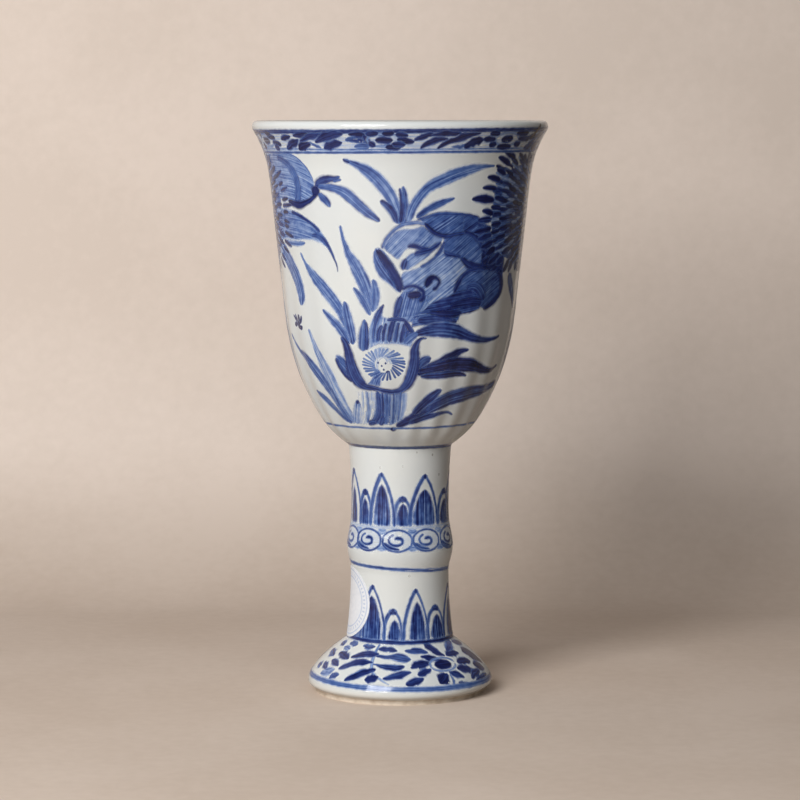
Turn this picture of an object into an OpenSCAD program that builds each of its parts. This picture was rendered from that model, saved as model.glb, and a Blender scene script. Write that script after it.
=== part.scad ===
// Porcelain stem cup: a fluted bowl on a tall hollow stem with a swelling, on a domed foot.
// Every moulded or thrown section is a solid of its own, with a ring of luting slip in each seam.
// Millimetres, +Z up. The origin is on the axis, in the plane that the foot ring stands on.
// The front of the cup faces -Y.

/* [Sections] */
// Height of the domed foot, from the standing plane to its seam
foot_h = 16; // [13:0.5:20]
// Height of the lower stem section
lower_stem_h = 21.6; // [21.4:0.2:27]
// Height of the upper stem section, with its swelling
upper_stem_h = 35.4; // [30:0.2:44]
// Height of the bowl, from its seat to the top of the lip
bowl_h = 95.8; // [85:0.2:110]
// Thickness of the luting slip in each seam
slip_t = 0.4; // [0.2:0.1:1]
// How far the slip was squeezed out into the hollow
slip_squeeze = 0.5; // [0.1:0.1:1.5]

/* [Bowl] */
// Radius of the flat seat under the bowl
seat_r = 15.4; // [14:0.1:17]
// Radius of the shoulder, where the plain base ends and the flutes begin
shoulder_r = 22.6; // [20:0.2:25]
// Height of the shoulder above the seat
shoulder_h = 6.6; // [5:0.2:9]
// Radius where the curved belly runs into the straight wall
belly_r = 33.9; // [31:0.1:36]
// Height of that place above the seat
belly_h = 38; // [32:0.5:44]
// Radius at the top of the straight wall
wall_top_r = 38.6; // [36:0.1:42]
// How far the lip stands out past the straight wall
lip_flare = 5.1; // [3.5:0.1:8]
// Height of the flare, from the straight wall to the widest ring of the lip
flare_h = 14.4; // [10:0.2:20]
// Radius of the rolled edge of the lip
lip_round = 1.6; // [1.4:0.05:2.2]
// Thickness of the bowl's wall
wall_t = 2.6; // [2:0.1:3]
// Thickness of the bowl's floor on the axis
floor_t = 7.5; // [5:0.5:10]
// Radius of the dished floor inside the bowl
dish_r = 45; // [40:1:60]

/* [Flutes] */
// Number of flutes round the bowl
flute_n = 22; // [16:1:26]
// Depth of a flute on the belly
flute_depth = 0.5; // [0.2:0.05:0.8]
// Depth left at the top of the straight wall, where a flute dies out
flute_top_depth = 0.05; // [0:0.01:0.2]

/* [Stem] */
// Radius at the top of the upper stem, under the bowl
stem_top_r = 15.3; // [14:0.1:17]
// Radius at the waist of the upper stem
waist_r = 14.5; // [13:0.1:15]
// Height of the waist above the seam under the swelling
waist_h = 18.6; // [16:0.2:22]
// Radius where the swelling starts, at its upper end
swell_top_r = 14.75; // [13.5:0.05:15.3]
// Height of that place above the seam under the swelling
swell_top_h = 12.4; // [10:0.2:14]
// Radius of the swelling at its widest
swell_r = 15.8; // [15:0.05:18]
// Height of the widest ring above the seam under the swelling
swell_h = 5.3; // [4:0.1:7]
// Radius at the seam under the swelling
mid_seam_r = 14.75; // [14:0.05:15.5]
// Radius of the neck just below that seam
neck_r = 14.55; // [13.5:0.05:15]
// Depth of the neck below that seam
neck_drop = 1.7; // [1.2:0.1:3]
// Radius at the foot of the lower stem
stem_foot_r = 15.9; // [15:0.05:17]
// Radius of the hollow at the top of the stem
hollow_top_r = 9.4; // [8:0.1:10.5]
// Radius of the hollow at the foot of the stem
hollow_foot_r = 11; // [10:0.1:12]

/* [Foot] */
// Radius of the foot at its widest
foot_r = 27.5; // [25:0.1:31]
// Height of that widest ring
foot_edge_h = 3; // [2.4:0.1:4]
// Outer radius of the unglazed ring that the cup stands on
ring_r = 25.8; // [24:0.1:27]
// Height of the unglazed ring
ring_h = 1.6; // [1:0.1:2]
// How far the ring tapers in, down to the standing plane
ring_taper = 0.4; // [0.2:0.1:0.8]
// Width of the ring where it stands
ring_w = 3; // [2:0.1:4]
// Wall of the domed foot
foot_wall = 4.6; // [3.5:0.1:6]

/* [Paper label] */
// Radius of the round paper label
label_r = 10.6; // [8:0.1:10.6]
// Direction of its centre round the axis, in degrees from +X
label_turn = 188; // [0:1:359]
// Thickness of the paper
paper_t = 0.12; // [0.08:0.01:0.3]

/* [Hidden] */
$fn = 96;

porcelain = "#e4e8ee";
slip = "#dcd8ce";
paper = "#f3f0e8";

// Steps in one stretch of a thrown outline
outline_steps = 10;
// Corners round the paper label
label_corners = 48;
// Length by which a cutting solid runs past what it cuts
overrun = 1;
// Points across one flute
flute_steps = 4;
// Steps of the bowl's outline along its belly, wall, flare, rolled lip and dished floor
belly_steps = 8;
wall_steps = 3;
flare_steps = 4;
lip_steps = 7;
dish_steps = 3;
// Headings of the thrown outlines, where 90 degrees is straight up
upright = 90;
downright = -90;
swell_low_heading = 72;
swell_high_heading = 97;
stem_top_heading = 85;
stem_foot_heading = 98;
foot_top_heading = -33;
ring_tuck_heading = -160;
hollow_top_heading = 100;
// Length of the tangents on the foot's dome and in its hollow, as a share of the chord
dome_pull = 0.75;
hollow_pull = 0.6;
// Angles of the rolled lip where the flare outside and the wall inside run into it
lip_outer_angle = -45;
lip_inner_angle = 190;

lower_stem_z = foot_h + slip_t;
mid_seam_z = lower_stem_z + lower_stem_h;
upper_stem_z = mid_seam_z + slip_t;
bowl_seam_z = upper_stem_z + upper_stem_h;
bowl_z = bowl_seam_z + slip_t;

// The bowl's outline is an arc for the belly, a straight wall, an arc for the flare and a
// rolled lip, with the same forms inside, down to a dished floor. The arcs of belly and flare
// are tangent to the straight wall. Points are [radius, height above the seat].
shoulder = [shoulder_r, shoulder_h];
belly_top = [belly_r, belly_h];
lip_centre = [wall_top_r + lip_flare - lip_round, bowl_h - lip_round];
wall_top = [wall_top_r, lip_centre[1] - flare_h];
wall_lean = atan2(wall_top[0] - belly_top[0], wall_top[1] - belly_top[1]);
wall_out = heading(-wall_lean);
belly_arc_r = tangent_radius(shoulder - belly_top, -wall_out);
belly_centre = belly_top - belly_arc_r * wall_out;
flare_end = lip_centre + lip_round * heading(lip_outer_angle);
flare_arc_r = tangent_radius(flare_end - wall_top, wall_out);
flare_centre = wall_top + flare_arc_r * wall_out;

inner_belly_top = belly_top - wall_t * wall_out;
inner_belly_r = belly_arc_r - wall_t;
inner_wall_top = wall_top - wall_t * wall_out;
inner_flare_end = lip_centre + lip_round * heading(lip_inner_angle);
inner_flare_r = tangent_radius(inner_flare_end - inner_wall_top, wall_out);
inner_flare_centre = inner_wall_top + inner_flare_r * wall_out;
dish_centre = [0, floor_t + dish_r];
dish_edge = lower_meeting(belly_centre, inner_belly_r, dish_centre, dish_r);

bowl_outline = concat(
    [[seat_r, 0]],
    arc(belly_centre, shoulder, belly_top, belly_steps),
    straight(belly_top, wall_top, wall_steps),
    arc(flare_centre, wall_top, flare_end, flare_steps),
    roll(lip_centre, lip_round, lip_outer_angle, lip_inner_angle, lip_steps),
    arc(inner_flare_centre, inner_flare_end, inner_wall_top, flare_steps),
    straight(inner_wall_top, inner_belly_top, 1),
    arc(belly_centre, inner_belly_top, dish_edge, belly_steps),
    arc(dish_centre, dish_edge, [0, floor_t], dish_steps));

// Direction from one point of the outline plane to another
function bearing(from, to) = atan2(to[1] - from[1], to[0] - from[0]);

// Points of a round stretch that turns from one angle to another, without its end
function roll(centre, r, from, to, steps) =
    [for (i = [0 : steps - 1]) centre + r * heading(from + (to - from) * i / steps)];

// Points of the short arc round a centre from a to b, without b
function arc(centre, a, b, steps) =
    let (from = bearing(centre, a), turn = bearing(centre, b) - from)
    roll(centre, norm(a - centre), from, from + turn - 360 * round(turn / 360), steps);

// Points of a straight stretch from a to b, without b
function straight(a, b, steps) = [for (i = [0 : steps - 1]) a + (b - a) * i / steps];

// The lower of the two places where two circles cross
function lower_meeting(a, a_r, b, b_r) =
    let (
        apart = norm(b - a),
        along = (a_r^2 - b_r^2 + apart^2) / (2 * apart),
        aside = sqrt(a_r^2 - along^2),
        ahead = (b - a) / apart)
    a + along * ahead + aside * [ahead[1], -ahead[0]];

// Radius of the circle that leaves a point at right angles to normal and passes through
// the place that lies step away
function tangent_radius(step, normal) = (step * step) / (2 * (step * normal));

// Unit step in a direction of the outline plane, where 90 degrees is straight up
function heading(angle) = [cos(angle), sin(angle)];

// Points of a smooth curve from a to b, without b, that leaves at one heading and arrives
// at another. Pull is the length of the two tangents as a share of the chord.
function curve(a, a_angle, b, b_angle, pull = 1) =
    let (reach = pull * norm(b - a))
    [for (i = [0 : outline_steps - 1])
        let (t = i / outline_steps)
        (2 * t^3 - 3 * t^2 + 1) * a
        + (t^3 - 2 * t^2 + t) * reach * heading(a_angle)
        + (3 * t^2 - 2 * t^3) * b
        + (t^3 - t^2) * reach * heading(b_angle)];

// Radius of the hollow in the stem at a height above the standing plane
function hollow_r(z) =
    hollow_foot_r + (hollow_top_r - hollow_foot_r) * (z - foot_h) / (bowl_seam_z - foot_h);

// The outsides of the stem sections, from foot to top
swell_low = [mid_seam_r, 0];
swell_wide = [swell_r, swell_h];
swell_high = [swell_top_r, swell_top_h];
waist = [waist_r, waist_h];
stem_top = [stem_top_r, upper_stem_h];
upper_stem_outline = concat(
    curve(swell_low, swell_low_heading, swell_wide, upright),
    curve(swell_wide, upright, swell_high, swell_high_heading),
    curve(swell_high, swell_high_heading, waist, upright),
    curve(waist, upright, stem_top, stem_top_heading),
    [stem_top]);

stem_foot = [stem_foot_r, 0];
neck = [neck_r, lower_stem_h - neck_drop];
stem_neck_end = [mid_seam_r, lower_stem_h];
lower_stem_outline = concat(
    curve(stem_foot, stem_foot_heading, neck, upright),
    curve(neck, upright, stem_neck_end, swell_low_heading),
    [stem_neck_end]);

// The outside of the foot, from its seam down to the standing plane
foot_top = [stem_foot_r, foot_h];
foot_edge = [foot_r, foot_edge_h];
ring_top = [ring_r, ring_h];
ring_low = [ring_r - ring_taper, 0];
foot_outline = concat(
    curve(foot_top, foot_top_heading, foot_edge, downright, dome_pull),
    curve(foot_edge, downright, ring_top, ring_tuck_heading),
    [ring_top, ring_low]);

// The hollow under the foot, from the ring up to the hollow of the stem
hollow_low = [ring_low[0] - ring_w, 0];
hollow_edge = [foot_r - foot_wall - ring_h, foot_edge_h];
hollow_top = [hollow_foot_r, foot_h];
foot_hollow = concat(
    [hollow_low],
    curve(hollow_edge, upright, hollow_top, hollow_top_heading, hollow_pull),
    [hollow_top]);

// Depth of the flutes at a row of the bowl's outline: full at the shoulder, dying out up the wall
function flute_depth_at(row) =
    let (rise = (bowl_outline[row][1] - shoulder[1]) / (wall_top[1] - shoulder[1]))
    row < 1 || row > belly_steps + wall_steps + 1
    ? 0
    : flute_depth + (flute_top_depth - flute_depth) * rise;

// The bowl, lofted ring by ring along its outline and closed at the seat and at the floor
module bowl() {
    around = flute_n * flute_steps;
    last = len(bowl_outline) - 1;
    rings = [for (row = [0 : last], k = [0 : around - 1])
        let (
            dip = flute_depth_at(row) * (1 - cos(360 * k / flute_steps)) / 2,
            r = bowl_outline[row][0] - dip,
            turn = 360 * k / around)
        [r * cos(turn), r * sin(turn), bowl_outline[row][1]]];
    seat_centre = len(rings);
    floor_centre = seat_centre + 1;
    walls = [for (row = [0 : last - 1], k = [0 : around - 1])
        let (low = row * around, high = low + around, next = (k + 1) % around)
        each [[low + k, high + k, low + next], [low + next, high + k, high + next]]];
    ends = [for (k = [0 : around - 1])
        let (top = last * around, next = (k + 1) % around)
        each [[seat_centre, k, next], [floor_centre, top + next, top + k]]];
    color(porcelain)
        translate([0, 0, bowl_z])
            polyhedron(concat(rings, [[0, 0, 0], [0, 0, floor_t]]), concat(walls, ends));
}

// A tube turned from an outline, with the stem's hollow through it
module stem_section(outline, z) {
    top = outline[len(outline) - 1][1];
    inside = [[hollow_r(z + top), top], [hollow_r(z), 0]];
    color(porcelain)
        translate([0, 0, z])
            rotate_extrude()
                polygon(concat(outline, inside));
}

// The ring of slip in a seam, flush outside and squeezed out a little inside
module seam_slip(z, low_r, high_r) {
    inner_r = hollow_r(z) - slip_squeeze;
    color(slip)
        translate([0, 0, z])
            rotate_extrude()
                polygon([[inner_r, 0], [low_r, 0], [high_r, slip_t], [inner_r, slip_t]]);
}

module bowl_seam_slip() {
    seam_slip(bowl_seam_z, stem_top_r, min(stem_top_r, seat_r));
}

module upper_stem() {
    stem_section(upper_stem_outline, upper_stem_z);
}

module mid_seam_slip() {
    seam_slip(mid_seam_z, mid_seam_r, mid_seam_r);
}

module lower_stem() {
    stem_section(lower_stem_outline, lower_stem_z);
}

module foot_seam_slip() {
    seam_slip(foot_h, stem_foot_r, stem_foot_r);
}

module foot() {
    color(porcelain)
        rotate_extrude()
            polygon(concat(foot_outline, foot_hollow));
}

// A round of paper bent onto the lower stem
module paper_label() {
    paper_outside = [for (p = lower_stem_outline) p + [paper_t, 0]];
    stem_outside = [for (i = [len(lower_stem_outline) - 1 : -1 : 0]) lower_stem_outline[i]];
    bend_r = (stem_foot_r + neck_r) / 2;
    label_h = lower_stem_h / 2;
    round_paper = [for (i = [0 : label_corners - 1])
        let (a = i * 360 / label_corners)
        [bend_r * sin(label_r * cos(a) / bend_r * 180 / PI), label_r * sin(a)]];
    color(paper)
        translate([0, 0, lower_stem_z])
            intersection() {
                rotate_extrude() polygon(concat(paper_outside, stem_outside));
                translate([0, 0, label_h])
                    rotate(label_turn)
                        rotate([90, 0, 90])
                            linear_extrude(stem_foot_r + overrun) polygon(round_paper);
            }
}

bowl();
bowl_seam_slip();
upper_stem();
mid_seam_slip();
lower_stem();
foot_seam_slip();
foot();
paper_label();
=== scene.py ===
# %% [markdown]
# A blue-and-white stem cup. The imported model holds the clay: a fluted bowl, two stem sections, a foot,
# the slip in the seams and a paper label. This lesson gives the clay its glaze, paints it with cobalt
# and lights it. Everything is in metres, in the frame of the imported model, with the front towards -Y.

# %% Load the frame
import math

import bpy
import numpy as np
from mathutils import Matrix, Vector


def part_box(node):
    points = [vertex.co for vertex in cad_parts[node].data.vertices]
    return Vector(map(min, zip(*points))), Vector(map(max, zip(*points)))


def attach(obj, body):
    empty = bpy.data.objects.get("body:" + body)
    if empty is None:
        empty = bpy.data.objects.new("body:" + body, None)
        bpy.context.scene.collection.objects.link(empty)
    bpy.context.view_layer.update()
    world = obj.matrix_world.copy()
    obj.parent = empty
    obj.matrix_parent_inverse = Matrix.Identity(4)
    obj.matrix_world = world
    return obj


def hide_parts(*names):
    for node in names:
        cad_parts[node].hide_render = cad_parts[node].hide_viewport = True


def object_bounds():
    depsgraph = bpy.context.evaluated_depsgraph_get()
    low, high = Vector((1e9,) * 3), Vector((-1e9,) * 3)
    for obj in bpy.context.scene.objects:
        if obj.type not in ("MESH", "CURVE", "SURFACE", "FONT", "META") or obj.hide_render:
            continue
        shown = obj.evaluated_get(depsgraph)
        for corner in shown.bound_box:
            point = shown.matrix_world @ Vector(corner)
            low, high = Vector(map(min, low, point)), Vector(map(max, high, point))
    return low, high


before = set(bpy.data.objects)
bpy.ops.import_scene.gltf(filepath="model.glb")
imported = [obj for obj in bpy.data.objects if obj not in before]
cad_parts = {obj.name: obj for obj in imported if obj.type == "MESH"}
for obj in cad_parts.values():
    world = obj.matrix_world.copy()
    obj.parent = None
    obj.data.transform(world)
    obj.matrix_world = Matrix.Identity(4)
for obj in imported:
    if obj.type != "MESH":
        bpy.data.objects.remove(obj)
cad_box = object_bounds()
MM = 0.001
print("nodes:", ", ".join(sorted(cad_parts)))

# %% [markdown]
# The camera comes first, because every later choice is judged through it. The cup is seen from just
# above its lip, from far enough away that its sides look almost parallel, so the lens is a long one.

# %% Camera
camera_back = 874 * MM
camera_height = 173 * MM
camera_tilt = math.radians(5.61)
camera_lens = 132.75

scene = bpy.context.scene
bpy.ops.object.select_all(action="DESELECT")
bpy.ops.object.camera_add(location=(0, -camera_back, camera_height),
                          rotation=(math.pi / 2 - camera_tilt, 0, 0))
scene.camera = bpy.context.object
scene.camera.data.lens = camera_lens
scene.view_settings.view_transform = "Standard"
print("camera looks down by", round(math.degrees(camera_tilt), 2), "degrees")

# %% [markdown]
# Materials here are graphs of many small nodes. Writing each node as one call, with its sockets as a
# dictionary, keeps a graph readable: a value in the dictionary is either a constant or another node's
# output, which is then linked.


# %% A helper that adds one node
def node(tree, kind, sockets=None, **settings):
    """Adds a node, sets its properties and fills its input sockets with constants or links."""
    made = tree.nodes.new("ShaderNode" + kind)
    for name, value in settings.items():
        setattr(made, name, value)
    for name, value in (sockets or {}).items():
        if isinstance(value, bpy.types.NodeSocket):
            tree.links.new(value, made.inputs[name])
        else:
            made.inputs[name].default_value = value
    return made


print("one call now adds one node")


# %% Empty materials and groups
def new_material(name):
    """An empty material, with its tree, its shader and its Object coordinates."""
    material = bpy.data.materials.new(name)
    material.use_nodes = True
    tree = material.node_tree
    place = node(tree, "TexCoord").outputs["Object"]
    return material, tree, tree.nodes["Principled BSDF"], place


def new_group(name, inputs, outputs):
    """An empty node group with named sockets, and its inner input and output nodes."""
    tree = bpy.data.node_groups.new(name, "ShaderNodeTree")
    for direction, sockets in (("INPUT", inputs), ("OUTPUT", outputs)):
        for socket, kind in sockets.items():
            tree.interface.new_socket(socket, in_out=direction, socket_type="NodeSocket" + kind)
    entry = tree.nodes.new("NodeGroupInput")
    return tree, entry.outputs, tree.nodes.new("NodeGroupOutput")


print("materials and groups can be started")


# %% Ramps, ranges and blends
def ramp(tree, factor, stops):
    """A colour ramp with the given stops, as a colour output."""
    made = node(tree, "ValToRGB", {"Fac": factor})
    elements = made.color_ramp.elements
    while len(elements) < len(stops):
        elements.new(1)
    for element, (position, colour) in zip(elements, stops):
        element.position = position
        element.color = (*colour, 1)
    return made.outputs["Color"]


def scaled(tree, value, low, high, to_low=0.0, to_high=1.0, smooth=True):
    """Maps a value from one range onto another, held at both ends."""
    made = node(tree, "MapRange", {"Value": value, "From Min": low, "From Max": high,
                                   "To Min": to_low, "To Max": to_high})
    made.interpolation_type = "SMOOTHSTEP" if smooth else "LINEAR"
    return made.outputs["Result"]


def maths(tree, operation, a, b=0.0):
    """One arithmetic step, as a value output."""
    made = node(tree, "Math", {0: a, 1: b}, operation=operation)
    return made.outputs[0]


def multiplied(tree, a, b):
    """Two colours multiplied, as layers of glass would."""
    made = node(tree, "Mix", {0: 1.0, 6: a, 7: b}, data_type="RGBA", blend_type="MULTIPLY")
    return made.outputs[2]


def mixed(tree, factor, a, b):
    """A blend of two colours."""
    made = node(tree, "Mix", {0: factor, 6: a, 7: b}, data_type="RGBA")
    return made.outputs[2]


print("node helpers ready")

# %% [markdown]
# The cup stands on a plain sweep: a floor that curves up into a backdrop close behind it, so there is
# no hard line between the two. A plane whose far edge is extruded upwards, with the fold bevelled,
# gives that in three operators. Its warm pale colour also tints the edges of the glossy cup.

# %% The shape of the sweep
sweep_half = 2.0
sweep_back = 0.24
sweep_rise = 2.2
sweep_bend = 0.11
sweep_segments = 24


def select_edges(piece, wanted):
    """Leaves a piece in edit mode, with the edges selected whose two ends are wanted."""
    bpy.ops.object.mode_set(mode="EDIT")
    bpy.ops.mesh.select_mode(type="EDGE")
    bpy.ops.mesh.select_all(action="DESELECT")
    bpy.ops.object.mode_set(mode="OBJECT")
    for edge in piece.data.edges:
        edge.select = all(wanted(piece.data.vertices[i].co) for i in edge.vertices)
    bpy.ops.object.mode_set(mode="EDIT")


bpy.ops.mesh.primitive_plane_add(size=2 * sweep_half, location=(0, sweep_back - sweep_half, 0))
sweep = bpy.context.object
sweep.name = "sweep"
bpy.ops.object.transform_apply(location=True, rotation=False, scale=False)
select_edges(sweep, lambda end: end.y > sweep_back - MM)
bpy.ops.mesh.extrude_region_move(TRANSFORM_OT_translate={"value": (0, 0, sweep_rise)})
select_edges(sweep, lambda end: end.y > sweep_back - MM and end.z < MM)
bpy.ops.mesh.bevel(offset=sweep_bend, segments=sweep_segments, profile=0.5)
bpy.ops.object.mode_set(mode="OBJECT")
bpy.ops.object.shade_smooth()
print("sweep has", len(sweep.data.polygons), "faces")

# %% [markdown]
# The sweep's paper has two close tones in soft clouds with a fine grain. For the camera it glows a little,
# more on the left, as painted light. What it throws back on the cup is dimmer than what the camera sees,
# and a painted shade makes it dimmer still far to the right, so that this side of the cup falls into
# shade. From behind, the camera looks through it.

# %% The paper of the sweep
floor_colours = ((0.68, 0.56, 0.465), (0.74, 0.62, 0.525))
wall_colours = ((0.79, 0.675, 0.585), (0.85, 0.73, 0.64))
paint_stops = (0.38, 0.62)
paint_edge = (0.0, 0.06)
unseen_share = 0.6
shade_span = (0.13, 0.24)
shade_share = 0.45
painted_light_span = (-0.22, 0.2)
painted_light_left, painted_light_right = 0.12, 0.02
floor_painted_light = 0.4
sweep_cloud = 14.0
sweep_grain = 260.0
cloud_share, grain_share = 0.7, 0.3
paper_rough = 0.9
paper_gloss = 0.1

material, tree, shader, place = new_material("backdrop_paper")
cloud = node(tree, "TexNoise", {"Vector": place, "Scale": sweep_cloud, "Detail": 6.0}).outputs["Fac"]
grain = node(tree, "TexNoise", {"Vector": place, "Scale": sweep_grain, "Detail": 3.0}).outputs["Fac"]
cloud = maths(tree, "ADD", maths(tree, "MULTIPLY", cloud, cloud_share),
              maths(tree, "MULTIPLY", grain, grain_share))
axes = node(tree, "SeparateXYZ", {"Vector": place}).outputs
floor_paint = ramp(tree, cloud, list(zip(paint_stops, floor_colours)))
wall_paint = ramp(tree, cloud, list(zip(paint_stops, wall_colours)))
upright = scaled(tree, axes["Z"], *paint_edge)
paint = mixed(tree, upright, floor_paint, wall_paint)
rays = node(tree, "LightPath").outputs
# Painted shade: for rays other than the camera's the paper darkens towards the right, and all but glossy rays
# see it dimmer still.
shaded = multiplied(tree, paint, scaled(tree, axes["X"], *shade_span, 1.0, shade_share))
dim = multiplied(tree, shaded, (unseen_share, unseen_share, unseen_share, 1))
unseen = mixed(tree, rays["Is Glossy Ray"], dim, shaded)
tree.links.new(mixed(tree, rays["Is Camera Ray"], unseen, paint), shader.inputs["Base Color"])
# Painted light: the paper glows for the camera only, most on the left, and less on the floor than on the
# wall.
painted_light = maths(tree, "MULTIPLY", scaled(tree, axes["X"], *painted_light_span, painted_light_left, painted_light_right),
             scaled(tree, upright, 0, 1, floor_painted_light, 1.0))
tree.links.new(paint, shader.inputs["Emission Color"])
tree.links.new(maths(tree, "MULTIPLY", painted_light, rays["Is Camera Ray"]), shader.inputs["Emission Strength"])
behind = maths(tree, "MULTIPLY", node(tree, "NewGeometry").outputs["Backfacing"], rays["Is Camera Ray"])
tree.links.new(maths(tree, "SUBTRACT", 1.0, behind), shader.inputs["Alpha"])
shader.inputs["Roughness"].default_value = paper_rough
shader.inputs["Specular IOR Level"].default_value = paper_gloss
sweep.data.materials.append(material)
print("paper has", len(tree.nodes), "nodes")

# %% [markdown]
# One broad softbox stands high on the left, near the camera: its reflection is the bright streak on
# the lip and the small window on the foot. The right side is left to fall into soft grey, with only a
# dim, slightly warm world filling the shadows.

# %% Lights
key_azimuth = math.radians(-29)
key_height = math.radians(26)
key_distance = 0.95
key_size = 0.5
key_watts = 8.6
fill_colour = (0.96, 0.97, 1.0, 1)
fill_strength = 0.10
room_colour = (0.80, 0.68, 0.58, 1)
room_strength = 0.7

key_place = key_distance * Vector((math.sin(key_azimuth) * math.cos(key_height),
                                   -math.cos(key_azimuth) * math.cos(key_height),
                                   math.sin(key_height)))
cup_middle = (cad_box[0] + cad_box[1]) / 2
bpy.ops.object.light_add(type="AREA", location=cup_middle + key_place,
                         rotation=key_place.to_track_quat("Z", "Y").to_euler())
key = bpy.context.object
key.data.size = key_size
key.data.energy = key_watts

scene.world = scene.world or bpy.data.worlds.new("studio")
scene.world.use_nodes = True
room = scene.world.node_tree
background = room.nodes["Background"]
camera_ray = node(room, "LightPath").outputs["Is Camera Ray"]
room.links.new(mixed(room, camera_ray, fill_colour, room_colour), background.inputs["Color"])
strength = scaled(room, camera_ray, 0, 1, fill_strength, room_strength)
room.links.new(strength, background.inputs["Strength"])
print("softbox at", [round(c, 2) for c in key.location])

# %% [markdown]
# The real glaze is a clear, faintly blue glass over white porcelain. It clouds a little where it is
# thicker, carries a few iron specks, and its surface ripples like orange peel. Both the bare glaze and
# the painted areas need it, so it is a node group, and the materials place it with their own shaders.

# %% The glaze as a node group
glaze_warm = (0.775, 0.79, 0.765)
glaze_cool = (0.725, 0.76, 0.765)
glaze_cloud = 38.0
cloud_stops = (0.3, 0.75)
speck_brown = (0.14, 0.09, 0.06, 1)
speck_cells = 95.0
speck_edge = (0.012, 0.028)
speck_rare = 0.955
speck_depth = 0.6
peel_scale = 240.0
wear_scale = 60.0
wear_span = (0.3, 0.7)
glaze_rough = (0.085, 0.15)

glaze, entry, result = new_group("porcelain_glaze", {"Place": "Vector"},
                                 {"Color": "Color", "Roughness": "Float", "Height": "Float"})
cloud = node(glaze, "TexNoise", {"Vector": entry["Place"], "Scale": glaze_cloud, "Detail": 3.0})
white = ramp(glaze, cloud.outputs["Fac"], list(zip(cloud_stops, (glaze_warm, glaze_cool))))
spots = node(glaze, "TexVoronoi", {"Vector": entry["Place"], "Scale": speck_cells})
rare = node(glaze, "SeparateColor", {"Color": spots.outputs["Color"]}).outputs[0]
dot = maths(glaze, "MULTIPLY", scaled(glaze, spots.outputs["Distance"], *speck_edge, 1.0, 0.0),
            maths(glaze, "GREATER_THAN", rare, speck_rare))
speckled = mixed(glaze, maths(glaze, "MULTIPLY", dot, speck_depth), white, speck_brown)
peel = node(glaze, "TexNoise", {"Vector": entry["Place"], "Scale": peel_scale, "Detail": 1.0})
wear = node(glaze, "TexNoise", {"Vector": entry["Place"], "Scale": wear_scale, "Detail": 4.0})
worn = scaled(glaze, wear.outputs["Fac"], *wear_span, *glaze_rough)
for socket, value in (("Color", speckled), ("Roughness", worn), ("Height", peel.outputs["Fac"])):
    glaze.links.new(value, result.inputs[socket])
print("glaze group has", len(glaze.nodes), "nodes")

# %% Glazed porcelain
ripple_strength = 0.035
ripple_depth = 0.4 * MM


def place_glaze(tree, shader, place):
    """Puts the glaze group into a material, wires its ripple and gives back the group's outputs."""
    made = node(tree, "Group", node_tree=glaze)
    tree.links.new(place, made.inputs["Place"])
    bump = node(tree, "Bump", {"Height": made.outputs["Height"], "Strength": ripple_strength,
                               "Distance": ripple_depth})
    tree.links.new(bump.outputs["Normal"], shader.inputs["Normal"])
    tree.links.new(made.outputs["Roughness"], shader.inputs["Roughness"])
    return made.outputs


glazed, tree, shader, place = new_material("glazed_porcelain")
outputs = place_glaze(tree, shader, place)
tree.links.new(outputs["Color"], shader.inputs["Base Color"])
print("glaze ripples by up to", ripple_depth / MM, "mm")

# %% [markdown]
# The foot stands on a ring from which the glaze was wiped before the firing. The bare clay there burnt
# to a warm tan and is rough, and the glaze just above it is creamy. One material holds all three: the
# height above the standing plane, roughened by noise, decides where the glaze stops.

# %% Foot material with a bare clay ring
bare_height = 1.45 * MM
bare_blur = 0.2 * MM
bare_wander = 0.5 * MM
bare_rough = 0.8
clay_colours = ((0.60, 0.48, 0.36), (0.80, 0.69, 0.56))
clay_stops = (0.3, 0.62)
clay_grit = 420.0
wander_scale = 90.0
cream = (0.86, 0.83, 0.76, 1)
cream_height = (2.5 * MM, 5.0 * MM)
cream_share = 0.8

foot_finish, tree, shader, place = new_material("glazed_foot_bare_ring")
outputs = place_glaze(tree, shader, place)
grit = node(tree, "TexNoise", {"Vector": place, "Scale": clay_grit, "Detail": 4.0}).outputs["Fac"]
wander = node(tree, "TexNoise", {"Vector": place, "Scale": wander_scale}).outputs["Fac"]
rise = node(tree, "SeparateXYZ", {"Vector": place}).outputs["Z"]
shift = scaled(tree, wander, 0, 1, -bare_wander, bare_wander, smooth=False)
bare = scaled(tree, maths(tree, "ADD", rise, shift), bare_height - bare_blur, bare_height + bare_blur,
              1.0, 0.0)
clay = ramp(tree, grit, list(zip(clay_stops, clay_colours)))
coat = mixed(tree, scaled(tree, rise, *cream_height, cream_share, 0.0), outputs["Color"], cream)
tree.links.new(mixed(tree, bare, coat, clay), shader.inputs["Base Color"])
rough = node(tree, "Mix", {"Factor": bare, 2: outputs["Roughness"], 3: bare_rough})
tree.links.new(rough.outputs[0], shader.inputs["Roughness"])
print("bare clay up to", bare_height / MM, "mm")

# %% [markdown]
# Each section of clay is a turned form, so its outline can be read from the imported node: every ring of
# corners gives one radius and one height. Outside and inside are told apart by which way the faces
# look. A smooth curve through those few points then gives as many rows as the glossy surface needs.

# %% Rings of corners on the packed clay
side_least = 0.02
height_digits = 5


def ring_rows(name, outside=True):
    """Radius and height of each ring of corners on one side of a turned node, from low to high."""
    rows = {}
    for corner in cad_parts[name].data.vertices:
        radius = math.hypot(corner.co.x, corner.co.y)
        outward = (corner.co.x * corner.normal.x + corner.co.y * corner.normal.y) / max(radius, MM)
        if (outward if outside else -outward) > side_least:
            height = round(corner.co.z, height_digits)
            rows[height] = max(rows.get(height, 0), radius)
    return [(rows[height], height) for height in sorted(rows)]


bowl_rows = ring_rows("bowl")
print("bowl has", len(bowl_rows), "rings of corners outside")


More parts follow.
